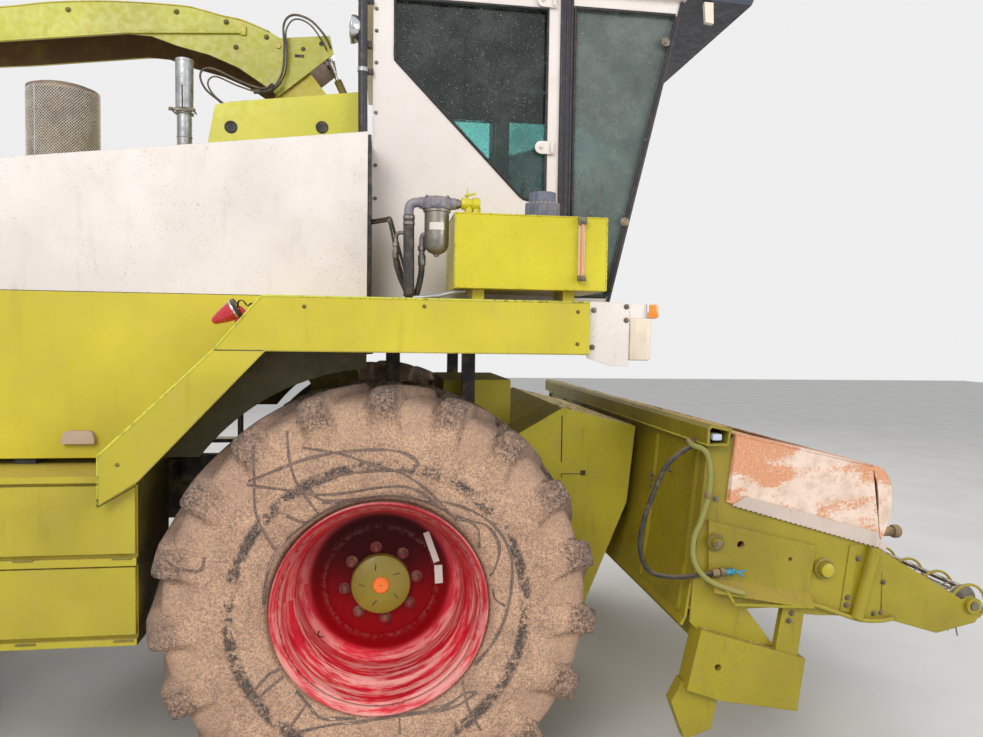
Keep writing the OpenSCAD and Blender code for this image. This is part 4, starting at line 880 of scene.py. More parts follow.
# Loose strokes on the front tyre's sidewall, as angle in degrees and radius in millimetres
STROKES = """
135,730 128,634 121,556 109,501 93,494 82,505 74,502 66,486 52,470 41,527
134,734 126,704 115,680 102,659 89,649 82,641 77,615 78,584 83,569 95,566 106,573 115,581 119,565 117,506 \
107,465 87,460
115,728 104,654 95,598 83,563 75,535 66,504 56,475
126,830 132,726 139,637 143,568 148,484
117,810 120,709 122,614 122,535 122,463
118,496 108,460 87,458 68,467 56,470 46,497 39,538 31,542 25,524 18,480 15,458
81,475 68,478 59,503 49,533 39,559 29,567 19,557 9,534 -1,514 -11,496 -22,474 -33,458
8,458 3,466 0,505
51,462 47,493 40,503 36,485 31,462
133,537 131,486 129,460
176,457 166,462 155,474 145,475 134,462 120,458 108,456
210,456 209,501 212,584 215,588 214,524 214,458
224,458 232,466 241,484 250,467 258,456
232,597 232,531 232,466
234,585 245,504 265,458 288,460 306,506 318,526
317,458 311,541 309,648
280,456 279,514
295,465 304,485 314,496 318,526
163,877 165,803 165,735 164,707 160,709
"""


def tyre_strokes(tyre):
    """Thin dark ribbons that follow the sidewall, where someone marked the tyre."""
    work = bmesh.new()
    work.from_mesh(tyre.data)
    tree = BVHTree.FromBMesh(work)
    work.free()
    centre = middle("tyre_front_right")
    verts, faces = [], []
    for stroke in STROKES.strip().splitlines():
        path = curve_points([around(r / 1000, a) for a, r in pairs(stroke)], 9)
        start = len(verts)
        for i, p in enumerate(path):
            way = path[min(i + 1, len(path) - 1)] - path[max(i - 1, 0)]
            across = Vector((-way.z, 0, way.x)).normalized()
            wide = 0.0058 + 0.0034 * noise.noise(p * 14)
            for s in (-1, 1):
                q = centre + p + across * wide * s
                hit = tree.ray_cast(q + Vector((0, -1, 0)), Vector((0, 1, 0)))[0]
                verts.append((hit or q) + Vector((0, -0.0009, 0)))
        for k in range(start, start + 2 * (len(path) - 1), 2):
            faces.append((k, k + 1, k + 3, k + 2))
    new_mesh("tyre_strokes", verts, faces, "black_marks", "front_wheel_right")


# Cab: seals, covers of the pillars, frame edges, lamps and what is inside

WINDOW = mm("44,2632 44,2372 52,2348 632,1764 652,1750 676,1747 738,1761 752,1776 753,2632")
FRONT_LEAN = 0.2331
HALF_WIDTH = 0.9


def front_edge(z, off=0.0):
    """The cab's leaning front edge at a height, or a place off it, in X and Z."""
    return 1.081 + (z - 1.291) * FRONT_LEAN + off, z


def make_cab():
    for side, tag in SIDES:
        body = "machine" if side == RIGHT else "cab_door"
        sweep("window_seal_" + tag, on_side(WINDOW, side * 0.951), 0.0075, "window_seal", body, 8, 0, True)
        corner = [(0.888, 1.3), (front_edge(1.3, -0.024)[0], 1.3), (front_edge(1.31, -0.018)[0], 1.312),
            front_edge(2.64, -0.018), (front_edge(2.65, -0.024)[0], 2.652),
            *mm("890,2652 884,2640 884,1310")]
        sweep("front_seal_" + tag, on_side(corner, side * 0.951), 0.0075, "window_seal", "machine", 8, 0,
            True)
        work = bmesh.new()
        low, high = span(side, 0.9502, 0.959)
        add_block(work, (0.813, low, 1.215), (0.875, high, 2.716))
        plate(work, [front_edge(1.17, -0.013), front_edge(1.17, 0.003), front_edge(2.715, 0.003),
                     front_edge(2.715, -0.013)], low, high)
        for x in (0.821, 0.845, 0.868):
            add_bar(work, (x, side * 0.959, 1.216), (x, side * 0.959, 2.714), 0.0055, 8)
        from_bmesh("pillar_cover_" + tag, work, "pillar_black", bevel=0.002)
        for k, (x, z, r) in enumerate(mm("1328,2521,21 1237,2053,7 1145,1659,21 1085,1331,7")):
            line = [(0.0005, 0), (r, 0), (r, 0.003), (r * 0.6, 0.005), (r * 0.55, 0.009), (0.0005, 0.01)]
            turned(f"cab_stud_{tag}_{k}", (x, side * 0.9585, z), (0, side, 0), line, "bolt", turns=24)
        work = bmesh.new()
        for z in (1.991, 2.668):
            round_end = [around(0.03, a) for a in range(105, 256, 15)]
            points = [(0.792, z - 0.03), (0.792, z + 0.03), (0.728, z + 0.03)]
            points += [(0.728 + p.x, z + p.z) for p in round_end] + [(0.728, z - 0.03)]
            plate(work, points, *span(side, 0.9575, 0.966))
            near, far = span(side, 0.966, 0.975)
            add_block(work, (0.772, near, z - 0.024), (0.784, far, z + 0.024))
            add_bolt(work, (0.727, side * 0.966, z), (0, side, 0), 0.008)
        from_bmesh("window_clips_" + tag, work, "white_cab", bevel=0.0015)
    # Front frame across the cab
    work = bmesh.new()
    for y in (-0.925, 0.925):
        x, z = front_edge(1.945, -0.006)
        mid, half = at(x, y, z), Vector((0.007, 0.024, 0.79))
        add_block(work, mid - half, mid + half, Matrix.Rotation(math.atan(FRONT_LEAN), 4, "Y"))
    x = front_edge(1.29)[0]
    add_block(work, (x - 0.028, -HALF_WIDTH, 1.262), (x + 0.006, HALF_WIDTH, 1.292))
    from_bmesh("front_frame", work, "pillar_black", bevel=0.003)
    # Black slabs fill the gaps between the cab and the hood's sides: painted shade in the gaps
    blocks("hood_gap_shade", ["-69.5,-1172,1262 -55.5,-955,1955", "-69.5,955,1262 -55.5,1172,1955"],
        "black_rubber")
    sweep("snorkel", "-101,-985,2716 -100,-985,2400 -98,-985,2080 -96,-984,2000 -90,-972,1930"
        " -80,-962,1880", 0.021, "pillar_black", sides=20, slot="black_plastic")
    clamps = (2.287, 2.6)
    for k, z in enumerate(clamps):
        turned(f"snorkel_clamp_{k}", (-0.0995, -0.985, z - 0.009), UP, "20,0 23.5,0 23.5,18 20,18",
            "galvanised", turns=32)
    blocks("snorkel_brackets", [((-0.092, -0.97, z - 0.015), (-0.052, -0.964, z + 0.015)) for z in clamps],
        "dark_paint")
    heights = (2.576, 2.478, 2.336, 2.112, 1.874, 1.724)
    bolts("cab_edge_bolts", [(-0.04, -0.951, z) for z in heights], (0, -1, 0), 0.006)
    lamp, back = (-0.118, -0.955, 2.475), (-1, 0, 0.05)
    turned("work_lamp_shell", lamp, back, "0.5,-24 20,-24 52,-4 62,20 64,32 60,36 56,30 0.5,10", "chrome")
    turned("work_lamp_glass", lamp, back, "0.5,46 30,43 56,34 56,30 0.5,30", "lamp_glass")
    blocks("work_lamp_foot", ["-100,-972,2395 -60,-940,2424", "-112,-960,2400 -94,-948,2470"], "dark_paint")
    # Small lamps under the visor's corners
    work = bmesh.new()
    for side in (RIGHT, LEFT):
        plate(work, "1507,2712 1553,2712 1557,2612 1516,2618", *span(side, 0.962, 0.985))
    from_bmesh("visor_lamps", work, "cream_lamp", bevel=0.004)
    # Linings
    blocks("headliner", ["20,-900,2620 1300,900,2716"], "cab_lining", bevel=0.02)
    blocks("floor_mat", ["0,-900,1200.5 1040,900,1212"], "black_rubber")
    blocks("rear_lining", ["-21,-900,1213 -12,-560,2620", "-21,560,1213 -12,900,2620",
        "-21,-560,1213 -12,560,1842", "0,-909,1213 1000,-902,1700"], "cab_lining", bevel=0.003)
    # Levers on the console, and a small lamp on a bent stalk at the front
    work = bmesh.new()
    for x, y, tall in mm("620,-470,200 700,-500,160 460,-500,130"):
        add_bar(work, (x, y, 1.72), (x + 0.03, y, 1.72 + tall), 0.006, 12)
        add_bar(work, (x + 0.03, y, 1.72 + tall), (x + 0.034, y, 1.76 + tall), 0.016, 16, 0.012)
    from_bmesh("console_levers", work, "black_rubber", bevel=0.002)
    sweep("stalk", "930,-600,1300 940,-620,1550 980,-660,1700 1070,-690,1780 1110,-700,1880"
        " 1100,-700,1925", 0.01, "black_rubber")
    turned("stalk_lamp", (1.075, -0.7, 1.938), (-1, -0.5, 0.1), "0.5,-20 18,-18 34,0 38,16 34,20 0.5,14",
        "chrome")
    make_seat()


def rounded_box(low, high, radius, cuts):
    """Corners and faces of a box with rounded edges, on a grid, and each corner's place from -1 to 1."""
    work = bmesh.new()
    bmesh.ops.create_cube(work, size=2.0)
    bmesh.ops.subdivide_edges(work, edges=work.edges[:], cuts=cuts, use_grid_fill=True)
    half = (high - low) / 2
    verts, shares = [], []
    for v in work.verts:
        p = Vector([v.co[i] * half[i] for i in range(3)])
        core = Vector([min(max(p[i], radius - half[i]), half[i] - radius) for i in range(3)])
        off = p - core
        verts.append((low + high) / 2 + core + (off.normalized() * radius if off.length > 1e-6 else off))
        shares.append(v.co.copy())
    faces = [tuple(v.index for v in f.verts) for f in work.faces]
    work.free()
    return verts, faces, shares


def pad(name, low, high, crown, axis, channels):
    """A foam pad: crowned along one axis, drawn in at its sides, with sewn channels and piping round it."""
    verts, faces, shares = rounded_box(low, high, 0.035, 22)
    first, second = [i for i in range(3) if i != axis]
    centre, half = (low + high) / 2, (high - low) / 2
    for v, share in zip(verts, shares):
        u, w = share[first], share[second]
        if share[axis] > 0:
            v[axis] += crown * (1 - u * u) * (1 - w * w) * share[axis]
            place = v[first] - centre[first]
            seams = sum(0.01 * math.exp(-((place - c) / 0.008) ** 2) for c in channels)
            v[axis] -= seams * share[axis] * (1 - w ** 6)
        for i, other in ((first, w), (second, u)):
            v[i] -= 0.016 * share[i] * (1 - other * other) * (1 - abs(share[axis]) * 0.5)
    piece = new_mesh(name, verts, faces, "seat_cloth")
    rim = []
    for k in range(64):
        a = CIRCLE * k / 64
        p = centre.copy()
        c, s = math.cos(a), math.sin(a)
        reach = (abs(c) ** 7 + abs(s) ** 7) ** (-1 / 7)
        u, w = c * reach, s * reach
        p[first] += u * (half[first] - 0.016 * (1 - min(w * w, 1)) + 0.001)
        p[second] += w * (half[second] - 0.016 * (1 - min(u * u, 1)) + 0.001)
        p[axis] += half[axis] * 0.45
        rim.append(p)
    piping = sweep(name + "_piping", rim, 0.0045, "seat_piping", "machine", 8, 0, True)
    return piece, piping


def make_seat():
    pad("seat_cushion", at(0.125, -0.24, 1.53), at(0.635, 0.24, 1.632), 0.022, 2, (-0.13, 0.0, 0.13))
    turn = Matrix.Rotation(math.radians(-6), 4, "Y")
    hinge = at(0.11, 0, 1.64)
    for piece in pad("seat_back", at(0.03, -0.23, 1.64), at(0.118, 0.23, 2.215), 0.026, 0, (-0.14, 0.14)):
        piece.data.transform(Matrix.Translation(hinge) @ turn @ Matrix.Translation(-hinge))
    boxes = ["170,-170,1213 520,170,1245", "140,-200,1500 600,200,1530"]
    for k in range(8):
        out, z = 0.012 * (k % 2), 0.031 * k
        boxes.append(((0.185 - out, -0.155 - out, 1.246 + z), (0.505 + out, 0.155 + out, 1.275 + z)))
    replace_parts(blocks("seat_pedestal", boxes, "black_rubber", bevel=0.008), "seat")


# Oil tank, its filter and pipes

FILTER_X, FILTER_Y = 0.215, -1.35
PORT_Z = 1.643
BACK_Y = -1.3


def make_tank():
    x, y = FILTER_X, FILTER_Y
    bowl = ("0.5,1424 9,1424 11,1432 20,1437 34,1444 44,1456 49.5,1474 50.5,1500 50.5,1604 56,1606"
            " 56,1616 0.5,1616")
    turned("filter_bowl", (x, y, 0), UP, bowl, "filter_steel", turns=64)
    head = "0.5,1616.5 60,1616.5 62,1620 61,1655 56,1662 46,1667 0.5,1667"
    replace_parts(turned("filter_head", (x, y, 0), UP, head, "cast_grey", turns=64), "oil_filter")
    work = bmesh.new()
    for near, far in ((-0.05, -0.072), (0.05, 0.078)):
        add_bar(work, (x + near, y, PORT_Z), (x + far, y, PORT_Z), 0.024, 24)
    add_block(work, (x - 0.03, y - 0.068, 1.622), (x + 0.03, y + 0.068, 1.66))
    add_block(work, (x - 0.012, y - 0.071, 1.628), (x + 0.012, y - 0.06, 1.652))
    for dx in (-0.042, 0.042):
        for dy in (-0.03, 0.03):
            add_bolt(work, (x + dx, y + dy, 1.664), UP, 0.007)
    from_bmesh("filter_ports", work, "cast_grey", bevel=0.003)
    verts = []
    for i in range(13):
        a = math.radians(-128 + 70 * i / 12)
        verts += [at(x + 0.0512 * math.cos(a), y + 0.0512 * math.sin(a), z) for z in (1.53, 1.56)]
    new_mesh("filter_label", verts, [(k, k + 2, k + 3, k + 1) for k in range(0, 24, 2)], "bare_label")
    sweep("filter_elbow", on_side("150,1643 128,1643 108,1634 101,1612 101,1585", y), 0.0195, "cast_grey",
        sides=24)
    sweep("suction_hose", on_side("101,1592 101.5,1490 102.5,1380 104,1262", y), 0.0225,
        "suction_hose_rubber", sides=32)
    for k, z in enumerate((1.575, 1.552)):
        turned(f"hose_clamp_{k}", (0.101, y, z), UP, "22.2,0 24.5,0 24.5,12 22.2,12", "worn_steel",
            turns=32)
    # Second line behind the suction hose, with its ferrule, and the thin lines to the left
    sweep("return_elbow", "180,-1310,1520 164,-1305,1518 158,-1300,1505 158,-1300,1485", 0.011,
        "cast_grey", sides=16, slot="grey_steel")
    turned("return_ferrule", (0.158, BACK_Y, 1.392), UP, "0.5,0 15,0 16,6 16,42 12,46 12,60 17,62 17,80"
        " 12,83 12,96 0.5,96", "worn_steel", turns=24)
    sweep("return_hose", on_side("158,1396 156,1360 147,1310 133,1258", BACK_Y), 0.013, "hose", sides=16)
    sweep("rod_line", "-52,-1100,1600 10,-1180,1600 26,-1250,1592 40,-1250,1550 60,-1250,1480"
        " 100,-1250,1335 118,-1250,1255", 0.006, "braided_line")
    sweep("rod_line_twin", "-52,-1100,1588 6,-1180,1588 18,-1262,1578 30,-1262,1540 46,-1262,1470"
        " 88,-1262,1330 108,-1262,1255", 0.005, "braided_line")
    turned("thin_ferrule", (0.049, BACK_Y, 1.42), (0.02, 0, 1), "0.5,0 13,0 14,4 14,30 11,32 11,46 15,48"
        " 15,62 9,64 9,84 0.5,84", "worn_steel", turns=24)
    sweep("thin_hose", on_side("49,1424 54,1390 70,1340 92,1290 104,1256", BACK_Y), 0.012, "hose", sides=16)
    sweep("thin_link", "51,-1300,1500 54,-1310,1515 66,-1320,1523 82,-1330,1520", 0.008, "worn_steel")
    sweep("drain_pipe", "120,-1375,1253.5 173,-1380,1258 228,-1380,1265 290,-1380,1280 336,-1375,1286",
        0.0085, "galvanised", sides=14)
    # Tap between the filter and the tank
    work = bmesh.new()
    add_bar(work, (0.282, y, PORT_Z), (0.306, y, PORT_Z), 0.021, 6)
    add_bar(work, (0.306, y, PORT_Z), (0.318, y, PORT_Z), 0.016, 20)
    from_bmesh("tap_nut", work, "worn_steel", bevel=0.001)
    tap = "0.5,0 22,0 26,6 26,28 21,36 21,44 27,48 28,70 24,78 0.5,80"
    turned("tap_body", (0.314, y, 1.646), FORWARD, tap, "green_tank", turns=24, ribs=6, depth=0.06)
    turned("tap_foot", (0.345, y, 1.6005), UP, "0.5,0 30,0 30,8 17,11 16,40 0.5,40", "green_tank", turns=24)
    turned("tap_foot_two", (0.378, y, 1.6005), UP, "0.5,0 18,0 18,30 0.5,32", "green_tank", turns=6)
    work = bmesh.new()
    add_bar(work, (0.341, y, 1.668), (0.341, y, 1.712), 0.0055, 10, 0.002)
    add_bar(work, (0.329, y - 0.004, 1.678), (0.374, y - 0.004, 1.688), 0.005, 10)
    from_bmesh("tap_spindle", work, "green_tank", bevel=0.001)
    # Cap in two ribbed steps
    cap = (0.668, BACK_Y, 1.6)
    turned("tank_cap", cap, UP, "0.5,1 74,1 74.5,6 74,58 72.5,67.5 60,69 0.5,69", "cap_grey", turns=144,
        ribs=24, depth=0.045)
    turned("tank_cap_top", cap, UP, "0.5,68 58,68 58,106 57,111.5 48,113.5 0.5,113.5", "cap_grey",
        turns=96, ribs=12, depth=0.05)
    turned("tank_cap_seat", cap, UP, "0.5,0 80,0 80,3 0.5,4", "worn_steel")
    # Level gauge
    blocks("gauge_plate", ["793.5,-1434.5,1333 821.5,-1431.5,1590"], "cream_lamp")
    turned("gauge_tube", (0.8075, -1.44, 1.352), UP, "0.5,0 7.5,0 7.5,215 0.5,215", "gauge_tube", turns=20)
    work = bmesh.new()
    for z, tall in mm("1566,30 1334,22"):
        add_block(work, (0.79, -1.452, z), (0.825, -1.4315, z + tall))
        add_bar(work, (0.8075, -1.452, z + tall / 2), (0.8075, -1.461, z + tall / 2), 0.011, 16)
    from_bmesh("gauge_ends", work, "bolt", bevel=0.003)
    # Weld beads along the tank's edges
    beads = ("286,-1419.5,1597 919,-1419.5,1597 919,-1419.5,1298 286,-1419.5,1298 286,-1419.5,1597",
             "286,-1418,1598.5 286,-1012,1598.5", "919,-1418,1598.5 919,-1012,1598.5",
             "286,-1418,1296.5 286,-1012,1296.5")
    for k, path in enumerate(beads):
        dense = []
        ends = [at(*p) for p in mm(path)]
        for a, b in zip(ends, ends[1:]):
            steps = max(int((b - a).length / 0.006), 2)
            for p in (a.lerp(b, i / steps) for i in range(steps)):
                dense.append(p + Vector((0, -0.0006 * noise.noise(p * 90), 0)))
        sweep(f"tank_bead_{k}", dense, lambda t, n=len(dense): 0.0034 + 0.0008 * math.sin(t * n * 1.9),
            "green_tank", "machine", 8, 0, k == 0)


# Body: handle, plugs, fender edge, lamps, exhaust and air screen

PIPE_X, PIPE_Y = -1.0, -0.44
SCREEN = at(-1.53, -0.54, 0)
SCREEN_R = 0.1562
# The screen's wires in each direction, spans of a wire, half its width, and its turn in radians
STRANDS, ROWS, WIRE, TWIST = 74, 26, 0.0019, 2.6


def make_body():
    work = bmesh.new()
    outline = "-1295,654 -1283,684 -1268,690 -1186,690 -1174,682 -1165,654 -1167,636 -1293,636"
    for side in (RIGHT, LEFT):
        plate(work, outline, *span(side, 1.18, 1.206))
    from_bmesh("panel_handles", work, "panel_handle", bevel=0.006, angle=50)
    for k, (x, z) in enumerate(mm("-678,2015 -281,2035")):
        for side, tag in SIDES:
            turned(f"plug_{k}_{tag[0]}", (x, side * 0.94, z), (0, side, 0),
                "0.5,0 28,0 28,3 24,6 18,4 0.5,3", "black_rubber", turns=32)
    # Fender's top edge: a bead in a lighter green, as a painted highlight along it
    edge = "829,1243.5 -452,1243.5 -462,1240 -632,1038 -640,1030 -1050,633 -1051.5,440"
    sweep("fender_edge", on_side(edge, -1.4995), 0.0045, "green_edge", sides=8, steps=0)
    lip = "829,1034.5 -447,1034.5 -912,535 -1050,445"
    sweep("fender_lip", on_side(lip, -1.4965), 0.0038, "green_under", sides=8, steps=0)
    sweep("fender_seam", on_side("-636,1034.5 -452,1034.5", -1.5004), 0.0022, "dark_paint", sides=6,
        steps=0)
    bolts("skirt_screws", on_side("-300,1205 780,1205 780,1075 160,1215 -980,600", -1.5), (0, -1, 0),
        0.0055, "green_under")
    # Marker lamps: base ring, rubber and wires
    for tag, place, axis, start in (("right", (-0.57, -1.425, 1.19), (-0.866, 0, -0.5), 0.0),
                                    ("left", (-1.48, 1.425, 1.14), (-1, 0, 0), 0.016)):
        for part, line, finish, turns in (
                ("base", "30,-16 41.5,-16 42.5,-8 41.5,-2 30,-2", "black_rubber", 48),
                ("ring", "34,-2 41.2,-2 41.2,4 37,8 34,6", "chrome", 48),
                ("lens", "0.5,98 9,96 16,88 27,55 37.5,16 38.5,4 0.5,4", "red_lens", 64)):
            shifted = [(r, start + z) for r, z in mm(line)]
            turned(f"marker_{part}_{tag}", place, axis, shifted, finish, turns=turns)
    wire = mm("-560,-1430,1196 -552,-1452,1222 -535,-1456,1224 -520,-1450,1206 -505,-1448,1216"
        " -500,-1440,1200")
    for k, dy in enumerate((0.0, 0.014)):
        sweep(f"marker_wire_{k}", [(x, y + dy, z) for x, y, z in wire], 0.0022, "black_rubber", sides=6)
    # Front lamps
    for side, tag in SIDES:
        way = (0, side, 0)
        bolts("lamp_bolts_" + tag, on_side("860,1215 1000,1232 1000,1176 856,1062", side * 1.45), way,
            0.008)
        y0, y1 = span(side, 1.258, 1.4535)
        blocks("headlamp_body_" + tag, [((1.0165, y0, 1.009), (1.108, y1, 1.1865))], "cream_lamp",
            bevel=0.01)
        lamp = (1.1, side * 1.351, 1.098)
        turned("headlamp_rim_" + tag, lamp, FORWARD, "72,0 82,0 84,6 80,14 73,14 70,6", "chrome", turns=64)
        turned("headlamp_glass_" + tag, lamp, FORWARD, "0.5,24 30,22 55,17 72,9 72,4 0.5,4", "lamp_glass",
            turns=64)
        y0, y1 = span(side, 1.375, 1.4525)
        blocks("indicator_" + tag, [((1.094, y0, 1.187), (1.14, y1, 1.243))], "orange_lens", bevel=0.006)
        blocks("indicator_base_" + tag, [((1.088, y0 - 0.001, 1.1855), (1.0945, y1 + 0.001, 1.2452))],
            "chrome")
    # Exhaust: clamp, slit and weld rings
    x, y, z = PIPE_X, PIPE_Y, 2.206
    work = bmesh.new()
    add_block(work, (x - 0.064, y - 0.052, 2.198), (x + 0.064, y - 0.044, 2.214))
    for dx in (-0.052, 0.052):
        add_bar(work, (x + dx, y - 0.062, z), (x + dx, y + 0.02, z), 0.0045, 12)
        add_bar(work, (x + dx, y - 0.052, z), (x + dx, y - 0.06, z), 0.009, 6)
    from_bmesh("exhaust_clamp", work, "bolt", bevel=0.0015)
    # The slit above the clamp as a black strip: painted shade in the opening
    blocks("exhaust_slit", [((x - 0.0035, y - 0.0436, 2.213), (x + 0.0035, y - 0.0425, 2.33))],
        "black_rubber")
    for k, (r, z) in enumerate(mm("37.5,2075 44.5,2192 44.5,2450")):
        line = [(r - 0.004, 0), (r, 0.001), (r + 0.001, 0.005), (r, 0.009), (r - 0.004, 0.01)]
        turned(f"exhaust_ring_{k}", (x, y, z), UP, line, "galvanised")
    for k, (r, z0, z1) in enumerate(mm("156.5,2222,2246 156.5,1812,1835")):
        line = [(r - 0.004, z0), (r, z0), (r + 0.001, (z0 + z1) / 2), (r, z1), (r - 0.004, z1)]
        turned(f"screen_band_{k}", SCREEN, UP, line, "screen_band", turns=96)
    verts, faces = [], []
    for twist in (-TWIST, TWIST):
        for k in range(STRANDS):
            start = len(verts)
            for i in range(ROWS + 1):
                a = CIRCLE * k / STRANDS + twist * i / ROWS
                out = Vector((math.cos(a), math.sin(a), 0))
                p = SCREEN + out * SCREEN_R + Vector((0, 0, 1.8 + 0.435 * i / ROWS))
                along = Vector((-out.y, out.x, 0))
                verts += [p - along * WIRE, p + out * WIRE, p + along * WIRE]
            for b in range(start, start + 3 * ROWS, 3):
                faces += [(b, b + 1, b + 4, b + 3), (b + 1, b + 2, b + 5, b + 4), (b + 2, b, b + 3, b + 5)]
            end = start + 3 * ROWS
            faces += [(start, start + 2, start + 1), (end, end + 1, end + 2)]
    new_mesh("screen_mesh", verts, faces, "screen_wire")
    work = bmesh.new()
    for degrees in (-118, 62):
        b = math.radians(degrees)
        foot = SCREEN + Vector((0.155 * math.cos(b), 0.155 * math.sin(b), 1.82))
        add_bar(work, foot, foot + Vector((0, 0, 0.42)), 0.0035, 8)
    from_bmesh("screen_joint", work, "galvanised")


# Spout: bolts, flange tab and cables


def make_spout():
    places = on_side("-1645,2775 -1105,2805 -850,2770 -800,2640 -640,2705", -0.175)
    bolts("spout_bolts", places, (0, -1, 0), 0.01, "green_under", "spout", "green_paint")
    blocks("flange_tab", ["-775,-186,2705 -745,-176,2752"], "green_paint", "spout")
    bead = ("-625,2735 -768,2786 -867,2801 -980,2825 -1093,2839 -1442,2834 -1731,2806 -1975,2763"
            " -2450,2704 -2950,2639 -3360,2577")
    sweep("arm_bead", on_side(bead, -0.1755), 0.0038, "green_paint", "spout", 6)
    # Two holes and a slot in the plate as black discs and a strip: painted shade in the openings
    work = bmesh.new()
    for x, z in mm("-445,2655 -349,2690"):
        add_bar(work, (x, -0.1748, z), (x, -0.1765, z), 0.012, 24)
    add_block(work, (-0.49, -0.1765, 2.608), (-0.44, -0.1748, 2.624))
    from_bmesh("plate_holes", work, "black_rubber", "spout")
    # Name, Y, Y of the last point, radius, and the way in X and Z
    cables = (
        ("cable_left", -0.235, -0.2, 0.0055, "-600,2440 -650,2411 -763,2440 -891,2495 -951,2496"
            " -972,2453 -942,2387 -866,2324 -800,2262"),
        ("cable_left_two", -0.225, -0.2, 0.0045, "-600,2430 -670,2395 -775,2418 -885,2462 -925,2452"
            " -935,2415 -900,2360 -820,2300 -740,2255"),
        ("cable_right", -0.212, -0.186, 0.0065, "-600,2425 -587,2435 -548,2517 -541,2650 -546,2755"
            " -520,2808 -468,2820 -394,2790 -325,2718 -298,2668"),
        ("cable_right_two", -0.202, -0.186, 0.0045, "-610,2415 -575,2442 -535,2520 -528,2640 -533,2730"
            " -505,2790 -460,2803 -400,2772 -345,2700 -318,2655"),
        ("cable_bundle", -0.222, None, 0.012, "-700,2395 -660,2400 -620,2410 -585,2430 -560,2460"),
    )
    for name, y, end, r, path in cables:
        points = [at(x, y + 0.012 * noise.noise(Vector((x * 5, z * 5, r * 900))), z) for x, z in mm(path)]
        if end:
            points[-1].y = end
        sweep(name, points, r, "cable_sheath", "turret", 8)
    blocks("cable_ties", ["-665,-240,2385 -655,-206,2418", "-605,-238,2405 -594,-204,2440"],
        "black_rubber", "turret")


# Header: strip, hoses, bolts, bush, straw

STRIP_TEETH = 60
BEAM_TEETH = 130


